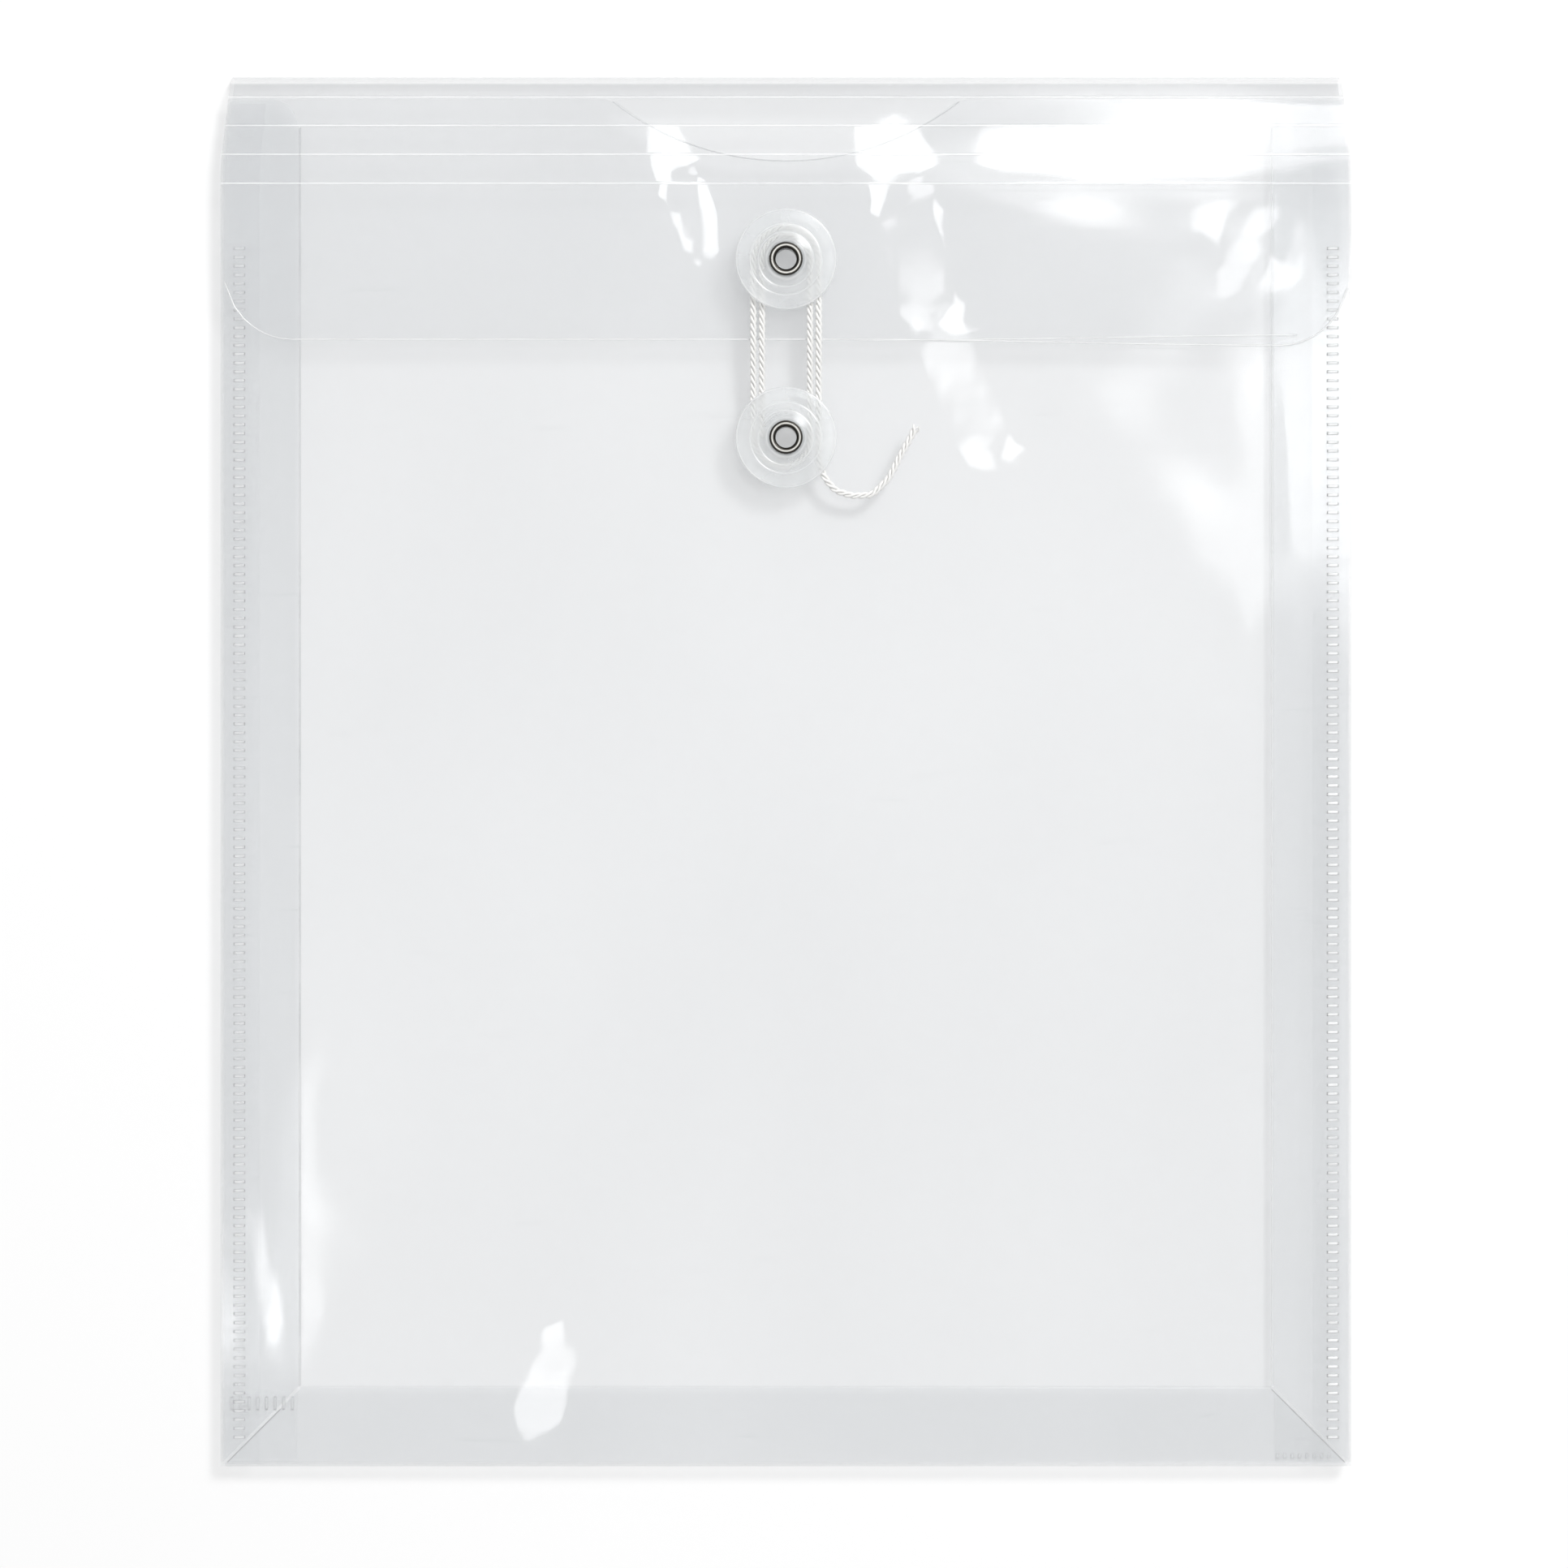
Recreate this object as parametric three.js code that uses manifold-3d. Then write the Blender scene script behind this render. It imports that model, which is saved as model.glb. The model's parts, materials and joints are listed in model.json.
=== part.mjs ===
// A clear plastic document envelope with a string closure, lying flat on its back panel.
// Millimetres. X runs to the right, Y towards the flap's fold, and Z up out of the back panel.
// The origin is under the centre of the back panel, on the surface that the envelope lies on.
import * as THREE from "three";
import { mergeVertices } from "three/addons/utils/BufferGeometryUtils.js";
import Module from "manifold-3d";

const wasm = await Module();
wasm.setup();

// Driving dimensions
const WIDTH = 247.65;
const HEIGHT = 304.8;
const FILM = 0.3;

// Gussets: each has a rear and a front half, and rolls about an axis beside the film at every fold
const GUSSET_WIDTH = 16.4;
const GUSSET_REST_ANGLE = THREE.MathUtils.degToRad(5);
const ROLL_RADIUS = 0.45;
const MITRE_GAP = 0.4;
const GUSSET_CORNER_RADIUS = 6;

// Mouth of the pocket
const MOUTH_SETBACK = 6.2;
const NOTCH_RADIUS = 62;
const NOTCH_DEPTH = 12.4;

// Spine: strips from the back panel to the flap, each at its rest angle over the front panel
const SPINE_LENGTHS = [8, 6.35, 6.35, 6.35];
const SPINE_REST_DEGREES = [52, 8, 3, 1];
const FOLD_GAP = 0.45;
const CREASE_GAP = 0.3;

// Flap
const FLAP_REACH = 58.2;
const FLAP_CORNER_RADIUS = 15;

// Side welds, which hold the gussets' flanges to the front panel
const FLANGE_WIDTH = 8;
const SEAM_INSET = 4;
const SEAM_STRIP_HEIGHT = 0.12;
const SEAM_BAR_LENGTH = 2.6;
const SEAM_BAR_WIDTH = 0.65;
const SEAM_BAR_HEIGHT = 0.25;
const SEAM_PITCH = 1.93;
const SEAM_TOP_SETBACK = 36;
const SEAM_BOTTOM_SETBACK = 5;

// Tabs in the bottom corners
const TAB_WIDTH = 15.9;
const TAB_HEIGHT = 15.6;
const TAB_CHAMFER = 3;
const TAB_BAR_COUNT = 8;
const TAB_BAR_PITCH = 1.9;
const TAB_BAR_WIDTH = 0.7;
const TAB_BAR_LENGTH = 3;
const TAB_BAR_HEIGHT = 0.15;
const TAB_BAR_EDGE = 1.1;
const RIGHT_BAR_LENGTH = 1.2;

// Buttons: a disc and a spacer that turn on an eyelet, which a washer backs inside
const UPPER_BUTTON_BELOW_TOP = 40.6;
const BUTTON_SPACING = 38.9;
const DISC_RADIUS = 11.1;
const DISC_THICKNESS = 1.2;
const DISC_EDGE_ROUND = 0.3;
const DISC_RINGS = [6, 7.5, 9.1];
const RING_HALF_WIDTH = 0.3;
const RING_DEPTH = 0.2;
const SPACER_RADIUS = 4.2;
const SPACER_HEIGHT = 2.2;
const WASHER_RADIUS = 5.5;
const WASHER_THICKNESS = 0.5;
const EYELET_RADIUS = 2.8;
const EYELET_BORE_RADIUS = 2.5;
const EYELET_FLANGE_RADIUS = 3.65;
const EYELET_FLANGE_THICKNESS = 0.4;
const RUNNING_CLEARANCE = 0.3;
const AXIAL_PLAY = 0.2;
const ROUND_SEGMENTS = 36;

// String: wound twice round both spacers, then a loose tail
const STRING_RADIUS = 0.7;
const INNER_WRAP = 5.25;
const OUTER_WRAP = 7.15;
const STRING_LIFT = 1.05;
const TAIL_LIFT = 0.75;
const HALF_LOOP_STEPS = 12;
const WINDING_SIDES = 6;
const TAIL_SIDES = 8;
const FLAP_EDGE_CLEARANCE = 0.8;
const DESCENT_LENGTH = 9.5;
const TAIL_GAP = 0.3;
// Points of the tail on the front panel, right of and below the lower button's centre
const TAIL_POINTS = [
  [7.15, -3.4],
  [7.4, -6.3],
  [8.8, -9.3],
  [10.9, -11.6],
  [14.5, -12.7],
  [18.9, -12.5],
  [22.5, -8.9],
  [25.2, -3.6],
  [28.7, 2.6],
];
const TAIL_STEPS = 16;

// Heights that follow from the film and the folds
const halfWidth = WIDTH / 2;
const halfHeight = HEIGHT / 2;
const backMiddle = FILM / 2;
const rearAxisZ = backMiddle + ROLL_RADIUS;
const sideAxisX = halfWidth - ROLL_RADIUS;
const bottomAxisY = -(halfHeight - ROLL_RADIUS);
const foldRise =
  GUSSET_WIDTH * Math.sin(GUSSET_REST_ANGLE) +
  2 * ROLL_RADIUS * Math.cos(GUSSET_REST_ANGLE);
const frontAxisZ = rearAxisZ + 2 * foldRise;
const flangeBottom = frontAxisZ + ROLL_RADIUS - FILM / 2;
const frontBottom = flangeBottom + FILM;
const frontTop = frontBottom + FILM;
const mouthY = halfHeight - MOUTH_SETBACK;

// The first fold's axis lies where the outer corner of the first strip just meets the full height
const firstAngle = THREE.MathUtils.degToRad(SPINE_REST_DEGREES[0]);
const foldAxisY =
  halfHeight + FOLD_GAP * Math.cos(firstAngle) - (FILM / 2) * Math.sin(firstAngle);

const creaseAxes = [{ y: foldAxisY, z: backMiddle }];
SPINE_LENGTHS.forEach((length, index) => {
  const angle = THREE.MathUtils.degToRad(SPINE_REST_DEGREES[index]);
  const from = creaseAxes[index];
  creaseAxes.push({
    y: from.y - length * Math.cos(angle),
    z: from.z + length * Math.sin(angle),
  });
});
const flapAxis = creaseAxes[SPINE_LENGTHS.length];
const flapTop = flapAxis.z + FILM / 2;
const flapTipY = halfHeight - FLAP_REACH;
const upperButtonY = halfHeight - UPPER_BUTTON_BELOW_TOP;
const lowerButtonY = upperButtonY - BUTTON_SPACING;

// Materials
const film = new THREE.MeshStandardMaterial({
  color: 0xe3e6ec,
  roughness: 0.12,
  metalness: 0,
  transparent: true,
  opacity: 0.4,
});
const weld = new THREE.MeshStandardMaterial({ color: 0xf2f3f6, roughness: 0.4, metalness: 0 });
const milky = new THREE.MeshStandardMaterial({ color: 0xe9eaee, roughness: 0.3, metalness: 0 });
const nickel = new THREE.MeshStandardMaterial({ color: 0x8d8f92, roughness: 0.25, metalness: 1 });
const cotton = new THREE.MeshStandardMaterial({ color: 0xf4f4f2, roughness: 0.9, metalness: 0 });

const envelope = new THREE.Group();

function addPiece(name, geometry, material, parent = envelope) {
  const mesh = new THREE.Mesh(geometry, material);
  mesh.name = name;
  parent.add(mesh);
  return mesh;
}

// A flat sheet in its own XY plane, from the given outline, with its lower face at bottom
function sheet(shape, bottom, thickness = FILM) {
  const geometry = new THREE.ExtrudeGeometry(shape, {
    depth: thickness,
    bevelEnabled: false,
    curveSegments: 20,
  });
  return geometry.translate(0, 0, bottom);
}

function polygon(points) {
  return new THREE.Shape(points.map(([x, y]) => new THREE.Vector2(x, y)));
}

function addHole(shape, x, y, radius) {
  const hole = new THREE.Path();
  hole.absarc(x, y, radius, 0, 2 * Math.PI, true);
  shape.holes.push(hole);
}

// Several closed geometries joined into one solid
function joined(geometries) {
  const solids = geometries.map((geometry) => {
    const bare = geometry.clone();
    bare.deleteAttribute("normal");
    bare.deleteAttribute("uv");
    const merged = mergeVertices(bare, 1e-4);
    const index = merged.index.array;
    return new wasm.Manifold(
      new wasm.Mesh({
        numProp: 3,
        vertProperties: new Float32Array(merged.attributes.position.array),
        triVerts: new Uint32Array(index),
      }),
    );
  });
  const whole = solids.reduce((sum, solid) => sum.add(solid)).getMesh();
  const geometry = new THREE.BufferGeometry();
  geometry.setAttribute("position", new THREE.BufferAttribute(whole.vertProperties, 3));
  geometry.setIndex(new THREE.BufferAttribute(whole.triVerts, 1));
  geometry.computeVertexNormals();
  return geometry;
}

function box(x0, x1, y0, y1, z0, z1) {
  const geometry = new THREE.BoxGeometry(x1 - x0, y1 - y0, z1 - z0);
  return geometry.translate((x0 + x1) / 2, (y0 + y1) / 2, (z0 + z1) / 2);
}

// A round piece about Z from its closed profile of radius and height pairs
function turned(profile) {
  const points = profile.map(([radius, z]) => new THREE.Vector2(radius, z));
  points.push(points[0].clone());
  return new THREE.LatheGeometry(points, ROUND_SEGMENTS).rotateX(Math.PI / 2);
}

// Back panel and front panel

function addPanels() {
  const backTopY = foldAxisY - FOLD_GAP;
  const back = polygon([
    [-sideAxisX, bottomAxisY],
    [sideAxisX, bottomAxisY],
    [sideAxisX, backTopY],
    [-sideAxisX, backTopY],
  ]);
  addPiece("back_panel", sheet(back, 0), film);

  const notchCentreY = mouthY - NOTCH_DEPTH + NOTCH_RADIUS;
  const notchReach = Math.sqrt(NOTCH_RADIUS ** 2 - (notchCentreY - mouthY) ** 2);
  const notchHalfAngle = Math.asin(notchReach / NOTCH_RADIUS);
  const down = -Math.PI / 2;
  const front = new THREE.Shape();
  front.moveTo(-halfWidth, -halfHeight);
  front.lineTo(halfWidth, -halfHeight);
  front.lineTo(halfWidth, mouthY);
  front.lineTo(notchReach, mouthY);
  front.absarc(0, notchCentreY, NOTCH_RADIUS, down + notchHalfAngle, down - notchHalfAngle, true);
  front.lineTo(-halfWidth, mouthY);
  front.closePath();
  addHole(front, 0, lowerButtonY, EYELET_RADIUS + RUNNING_CLEARANCE);
  addPiece("front_panel", sheet(front, frontBottom), film);
}

// Gussets

function sideGussetOutline(side) {
  const shape = new THREE.Shape();
  const inner = side * -GUSSET_WIDTH;
  const cornerX = inner + side * GUSSET_CORNER_RADIUS;
  const cornerY = mouthY - GUSSET_CORNER_RADIUS;
  shape.moveTo(0, bottomAxisY + MITRE_GAP);
  shape.lineTo(inner, bottomAxisY + GUSSET_WIDTH + MITRE_GAP);
  shape.lineTo(inner, cornerY);
  if (side < 0) shape.absarc(cornerX, cornerY, GUSSET_CORNER_RADIUS, 0, Math.PI / 2, false);
  else shape.absarc(cornerX, cornerY, GUSSET_CORNER_RADIUS, Math.PI, Math.PI / 2, true);
  shape.lineTo(0, mouthY);
  shape.closePath();
  return shape;
}

function bottomGussetOutline() {
  const outer = sideAxisX - MITRE_GAP;
  const inner = outer - GUSSET_WIDTH;
  return polygon([
    [-outer, 0],
    [outer, 0],
    [inner, GUSSET_WIDTH],
    [-inner, GUSSET_WIDTH],
  ]);
}

// A group on a gusset's outer axis, turned to its rest angle
function hingeGroup(x, y, z, turnX, turnY) {
  const group = new THREE.Group();
  group.position.set(x, y, z);
  group.rotation.set(turnX, turnY, 0);
  envelope.add(group);
  return group;
}

function addGussets() {
  const above = ROLL_RADIUS - FILM / 2;
  const below = -ROLL_RADIUS - FILM / 2;
  for (const [side, word] of [
    [-1, "left"],
    [1, "right"],
  ]) {
    const outline = sideGussetOutline(side);
    const turn = side * GUSSET_REST_ANGLE;
    const rear = hingeGroup(side * sideAxisX, 0, rearAxisZ, 0, turn);
    addPiece(word + "_gusset_rear", sheet(outline, above), film, rear);
    const front = hingeGroup(side * sideAxisX, 0, frontAxisZ, 0, -turn);
    addPiece(word + "_gusset_front", sheet(outline, below), film, front);
  }
  const outline = bottomGussetOutline();
  const rear = hingeGroup(0, bottomAxisY, rearAxisZ, GUSSET_REST_ANGLE, 0);
  addPiece("bottom_gusset_rear", sheet(outline, above), film, rear);
  const front = hingeGroup(0, bottomAxisY, frontAxisZ, -GUSSET_REST_ANGLE, 0);
  addPiece("bottom_gusset_front", sheet(outline, below), film, front);
}

// Weld flanges under the front panel's sides, and the weld seams on top of it

// One seam about its own middle line: a low strip with a raised bar at every pitch, seen from its side
function seam(centreX) {
  const top = halfHeight - SEAM_TOP_SETBACK;
  const bottom = -halfHeight + SEAM_BOTTOM_SETBACK;
  const count = Math.floor((top - bottom - SEAM_BAR_WIDTH) / SEAM_PITCH);
  const stripTop = frontTop + SEAM_STRIP_HEIGHT;
  const barTop = frontTop + SEAM_BAR_HEIGHT;
  const points = [
    [top, stripTop],
    [top, frontTop],
    [bottom, frontTop],
    [bottom, stripTop],
  ];
  for (let index = 0; index < count; index += 1) {
    const start = bottom + (index + 0.5) * SEAM_PITCH;
    const stop = start + SEAM_BAR_WIDTH;
    points.push([start, stripTop], [start, barTop], [stop, barTop], [stop, stripTop]);
  }
  const geometry = new THREE.ExtrudeGeometry(polygon(points), {
    depth: SEAM_BAR_LENGTH,
    bevelEnabled: false,
  });
  const acrossX = new THREE.Matrix4().makeBasis(
    new THREE.Vector3(0, 1, 0),
    new THREE.Vector3(0, 0, 1),
    new THREE.Vector3(1, 0, 0),
  );
  geometry.applyMatrix4(acrossX);
  return geometry.translate(centreX - SEAM_BAR_LENGTH / 2, 0, 0);
}

function addWelds() {
  for (const [side, word] of [
    [-1, "left"],
    [1, "right"],
  ]) {
    const outer = side * sideAxisX;
    const inner = side * (sideAxisX - FLANGE_WIDTH);
    const flange = box(
      Math.min(outer, inner),
      Math.max(outer, inner),
      bottomAxisY,
      mouthY,
      flangeBottom,
      frontBottom,
    );
    addPiece(word + "_weld_flange", flange, film);

    const centreX = side * (halfWidth - SEAM_INSET);
    addPiece(word + "_weld_seam", seam(centreX), weld);
  }
}

// Tabs on the back panel in the bottom corners: the left one is square, the right one is cut along the fold

function addCornerTabs() {
  const bottom = FILM;
  const top = bottom + FILM;
  const low = bottomAxisY;
  const high = low + TAB_HEIGHT;
  const leftX = -sideAxisX;
  const rightX = sideAxisX;
  const leftOutline = polygon([
    [leftX, low],
    [leftX + TAB_WIDTH, low],
    [leftX + TAB_WIDTH, high],
    [leftX + TAB_CHAMFER, high],
    [leftX, high - TAB_CHAMFER],
  ]);
  const rightOutline = polygon([
    [rightX - TAB_WIDTH, low],
    [rightX, low],
    [rightX - TAB_WIDTH, high],
  ]);
  const leftBars = [];
  const rightBars = [];
  for (let index = 0; index < TAB_BAR_COUNT; index += 1) {
    const fromEdge = TAB_BAR_EDGE + index * TAB_BAR_PITCH;
    const leftEnd = high - TAB_BAR_EDGE;
    const leftStart = leftX + fromEdge;
    const barTop = top + TAB_BAR_HEIGHT;
    const leftTop = Math.min(leftEnd, high - TAB_CHAMFER + fromEdge - TAB_BAR_WIDTH);
    const leftStop = leftStart + TAB_BAR_WIDTH;
    leftBars.push(box(leftStart, leftStop, leftTop - TAB_BAR_LENGTH, leftTop, bottom, barTop));
    const rightStart = rightX - TAB_WIDTH + index * TAB_BAR_PITCH * 0.85;
    const rightLow = low + TAB_BAR_EDGE / 2;
    const rightStop = rightStart + TAB_BAR_WIDTH;
    rightBars.push(
      box(rightStart, rightStop, rightLow, rightLow + RIGHT_BAR_LENGTH, bottom, barTop),
    );
  }
  addPiece("left_corner_tab", joined([sheet(leftOutline, bottom), ...leftBars]), film);
  addPiece("right_corner_tab", joined([sheet(rightOutline, bottom), ...rightBars]), film);
}

// Spine and flap

function addSpine() {
  SPINE_LENGTHS.forEach((length, index) => {
    const start = index === 0 ? FOLD_GAP : CREASE_GAP;
    const strip = box(
      -halfWidth,
      halfWidth,
      -(length - CREASE_GAP),
      -start,
      -FILM / 2,
      FILM / 2,
    );
    const group = new THREE.Group();
    group.position.set(0, creaseAxes[index].y, creaseAxes[index].z);
    group.rotation.x = -THREE.MathUtils.degToRad(SPINE_REST_DEGREES[index]);
    envelope.add(group);
    addPiece("spine_strip_" + (index + 1), strip, film, group);
  });
}

function addFlap() {
  const top = flapAxis.y - CREASE_GAP;
  const radius = FLAP_CORNER_RADIUS;
  const shape = new THREE.Shape();
  shape.moveTo(-halfWidth, top);
  shape.lineTo(-halfWidth, flapTipY + radius);
  shape.absarc(-halfWidth + radius, flapTipY + radius, radius, Math.PI, 1.5 * Math.PI, false);
  shape.lineTo(halfWidth - radius, flapTipY);
  shape.absarc(halfWidth - radius, flapTipY + radius, radius, 1.5 * Math.PI, 2 * Math.PI, false);
  shape.lineTo(halfWidth, top);
  shape.closePath();
  addHole(shape, 0, upperButtonY, EYELET_RADIUS + RUNNING_CLEARANCE);
  addPiece("flap", sheet(shape, flapAxis.z - FILM / 2), film);
}

// Buttons

function discProfile(bottom) {
  const top = bottom + DISC_THICKNESS;
  const bore = EYELET_RADIUS + RUNNING_CLEARANCE;
  const grooves = DISC_RINGS.flatMap((radius) => [
    [radius - RING_HALF_WIDTH, top],
    [radius, top - RING_DEPTH],
    [radius + RING_HALF_WIDTH, top],
  ]);
  return [
    [bore, bottom],
    [DISC_RADIUS - DISC_EDGE_ROUND, bottom],
    [DISC_RADIUS, bottom + DISC_EDGE_ROUND],
    [DISC_RADIUS, top - DISC_EDGE_ROUND],
    [DISC_RADIUS - DISC_EDGE_ROUND, top],
    ...grooves.reverse(),
    [bore, top],
  ];
}

function ringProfile(inner, outer, bottom, top) {
  return [
    [inner, bottom],
    [outer, bottom],
    [outer, top],
    [inner, top],
  ];
}

function addButton(word, centreY, panelTop) {
  const bore = EYELET_RADIUS + RUNNING_CLEARANCE;
  const spacerBottom = panelTop + AXIAL_PLAY;
  const discBottom = spacerBottom + SPACER_HEIGHT;
  const flangeUnder = discBottom + DISC_THICKNESS + AXIAL_PLAY;
  const eyeletTop = flangeUnder + EYELET_FLANGE_THICKNESS;
  const panelBottom = panelTop - FILM;
  const washerBottom = panelBottom - WASHER_THICKNESS;
  const eyeletBottom = washerBottom - EYELET_FLANGE_THICKNESS;
  const group = new THREE.Group();
  group.position.set(0, centreY, 0);
  envelope.add(group);
  const spacer = ringProfile(bore, SPACER_RADIUS, spacerBottom, discBottom);
  const washer = ringProfile(bore, WASHER_RADIUS, washerBottom, panelBottom);
  const eyelet = [
    [EYELET_BORE_RADIUS, eyeletBottom],
    [EYELET_FLANGE_RADIUS, eyeletBottom],
    [EYELET_FLANGE_RADIUS, washerBottom],
    [EYELET_RADIUS, washerBottom],
    [EYELET_RADIUS, flangeUnder],
    [EYELET_FLANGE_RADIUS, flangeUnder],
    [EYELET_FLANGE_RADIUS, eyeletTop],
    [EYELET_BORE_RADIUS, eyeletTop],
  ];
  addPiece(word + "_disc", turned(discProfile(discBottom)), milky, group);
  addPiece(word + "_spacer", turned(spacer), milky, group);
  addPiece(word + "_backing_washer", turned(washer), milky, group);
  addPiece(word + "_eyelet", turned(eyelet), nickel, group);
}

// String

// A tube with flat ends, its rings square to the bisector at each point
function sweep(points, radius, sides) {
  const positions = [];
  const index = [];
  const up = new THREE.Vector3(0, 0, 1);
  points.forEach((point, i) => {
    const before = points[Math.max(i - 1, 0)];
    const after = points[Math.min(i + 1, points.length - 1)];
    const along = after.clone().sub(before).normalize();
    const across = new THREE.Vector3().crossVectors(up, along).normalize();
    const over = new THREE.Vector3().crossVectors(along, across);
    for (let k = 0; k < sides; k += 1) {
      const angle = (2 * Math.PI * k) / sides;
      const spot = point.clone();
      spot.addScaledVector(across, radius * Math.cos(angle));
      spot.addScaledVector(over, radius * Math.sin(angle));
      positions.push(spot.x, spot.y, spot.z);
    }
  });
  for (let i = 0; i + 1 < points.length; i += 1) {
    for (let k = 0; k < sides; k += 1) {
      const a = i * sides + k;
      const b = i * sides + ((k + 1) % sides);
      index.push(a, b, a + sides, b, b + sides, a + sides);
    }
  }
  const last = (points.length - 1) * sides;
  for (let k = 1; k + 1 < sides; k += 1) {
    index.push(0, k + 1, k, last, last + k, last + k + 1);
  }
  const geometry = new THREE.BufferGeometry();
  geometry.setAttribute("position", new THREE.Float32BufferAttribute(positions, 3));
  geometry.setIndex(index);
  geometry.computeVertexNormals();
  return geometry;
}

const upperStringZ = flapTop + STRING_LIFT;
const lowerStringZ = frontTop + STRING_LIFT;
const descentTop = flapTipY - FLAP_EDGE_CLEARANCE;
const descentBottom = descentTop - DESCENT_LENGTH;

// A straight run between the buttons at x, going up or down, which passes over the flap's edge
function straightRun(x, upwards) {
  const heights = [
    [lowerButtonY, lowerStringZ],
    [lowerButtonY + 2 * STRING_RADIUS, lowerStringZ],
    [descentBottom, lowerStringZ],
    [descentTop, upperStringZ],
    [upperButtonY - 2 * STRING_RADIUS, upperStringZ],
  ];
  const run = heights.map(([y, z]) => new THREE.Vector3(x, y, z));
  return upwards ? run : run.reverse();
}

// Half a loop from one angle to another, whose radius grows evenly
function halfLoop(centreY, z, fromAngle, toAngle, fromRadius, toRadius) {
  const points = [];
  for (let step = 0; step <= HALF_LOOP_STEPS; step += 1) {
    const share = step / HALF_LOOP_STEPS;
    const angle = fromAngle + (toAngle - fromAngle) * share;
    const radius = fromRadius + (toRadius - fromRadius) * share;
    points.push(
      new THREE.Vector3(radius * Math.cos(angle), centreY + radius * Math.sin(angle), z),
    );
  }
  return points;
}

function windingRoute() {
  const overTop = (radius) => halfLoop(upperButtonY, upperStringZ, Math.PI, 0, radius, radius);
  const underBottom = halfLoop(lowerButtonY, lowerStringZ, 0, -Math.PI, INNER_WRAP, OUTER_WRAP);
  return [
    ...straightRun(-INNER_WRAP, true),
    ...overTop(INNER_WRAP),
    ...straightRun(INNER_WRAP, false).slice(0, -1),
    ...underBottom,
    ...straightRun(-OUTER_WRAP, true).slice(1),
    ...overTop(OUTER_WRAP),
    ...straightRun(OUTER_WRAP, false),
  ];
}

function tailRoute(start) {
  const lift = frontTop + TAIL_LIFT;
  const points = [start, start.clone().add(new THREE.Vector3(0, -2 * STRING_RADIUS, 0))];
  TAIL_POINTS.forEach(([x, y]) => points.push(new THREE.Vector3(x, lowerButtonY + y, lift)));
  const curve = new THREE.CatmullRomCurve3(points, false, "centripetal");
  const steps = curve.getSpacedPoints(TAIL_STEPS);
  steps[0] = points[0];
  steps[1].x = start.x;
  return steps;
}

// The least gap of the winding to itself, over pairs of points that lie well apart along it
function leastSelfGap(points) {
  const curve = new THREE.CurvePath();
  for (let i = 0; i + 1 < points.length; i += 1) {
    curve.add(new THREE.LineCurve3(points[i], points[i + 1]));
  }
  const length = curve.getLength();
  const samples = curve.getSpacedPoints(Math.ceil(length / STRING_RADIUS));
  const apart = Math.ceil((Math.PI * INNER_WRAP) / STRING_RADIUS);
  let least = Infinity;
  for (let i = 0; i < samples.length; i += 1) {
    for (let j = i + apart; j < samples.length; j += 1) {
      least = Math.min(least, samples[i].distanceTo(samples[j]));
    }
  }
  return least - 2 * STRING_RADIUS;
}

function addString() {
  const winding = windingRoute();
  const end = winding[winding.length - 1];
  const tailStart = end.clone().add(new THREE.Vector3(0, -TAIL_GAP, 0));
  addPiece("string_winding", sweep(winding, STRING_RADIUS, WINDING_SIDES), cotton);
  addPiece("string_tail", sweep(tailRoute(tailStart), STRING_RADIUS, TAIL_SIDES), cotton);
  console.log("least gap of the winding to itself, mm:", leastSelfGap(winding).toFixed(2));
}

addPanels();
addGussets();
addWelds();
addCornerTabs();
addSpine();
addFlap();
addButton("upper", upperButtonY, flapTop);
addButton("lower", lowerButtonY, frontTop);
addString();

export default envelope;
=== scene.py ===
import json
import math

import bmesh
import bpy
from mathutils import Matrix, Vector


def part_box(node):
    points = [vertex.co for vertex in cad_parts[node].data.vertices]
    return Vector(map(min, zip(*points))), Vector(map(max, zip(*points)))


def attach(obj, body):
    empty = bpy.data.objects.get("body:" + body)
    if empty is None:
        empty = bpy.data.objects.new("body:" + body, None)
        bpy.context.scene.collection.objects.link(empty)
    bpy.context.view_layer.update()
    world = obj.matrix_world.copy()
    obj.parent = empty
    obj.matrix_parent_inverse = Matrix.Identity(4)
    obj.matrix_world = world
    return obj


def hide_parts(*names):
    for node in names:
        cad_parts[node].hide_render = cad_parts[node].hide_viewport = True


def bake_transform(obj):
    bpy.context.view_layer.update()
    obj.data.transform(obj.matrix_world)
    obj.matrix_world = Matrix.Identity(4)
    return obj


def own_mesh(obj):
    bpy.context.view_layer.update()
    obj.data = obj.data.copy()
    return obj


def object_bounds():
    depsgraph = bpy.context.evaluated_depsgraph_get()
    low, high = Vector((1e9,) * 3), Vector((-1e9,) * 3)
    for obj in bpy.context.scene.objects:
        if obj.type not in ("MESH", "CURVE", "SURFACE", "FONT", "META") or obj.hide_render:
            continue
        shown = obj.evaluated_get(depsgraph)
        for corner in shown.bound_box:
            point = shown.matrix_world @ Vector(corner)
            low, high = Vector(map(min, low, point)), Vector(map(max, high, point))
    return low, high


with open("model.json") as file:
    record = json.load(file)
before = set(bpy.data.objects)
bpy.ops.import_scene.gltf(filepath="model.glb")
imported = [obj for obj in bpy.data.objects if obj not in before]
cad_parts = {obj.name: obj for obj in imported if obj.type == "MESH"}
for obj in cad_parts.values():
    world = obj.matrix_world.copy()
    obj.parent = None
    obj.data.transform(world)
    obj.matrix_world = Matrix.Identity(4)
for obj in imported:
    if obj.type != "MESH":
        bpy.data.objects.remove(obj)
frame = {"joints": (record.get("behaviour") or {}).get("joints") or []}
cad_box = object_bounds()

MM = 0.001
joints = {joint["name"]: Vector(joint["pos_m"]) for joint in frame["joints"]}

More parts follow.
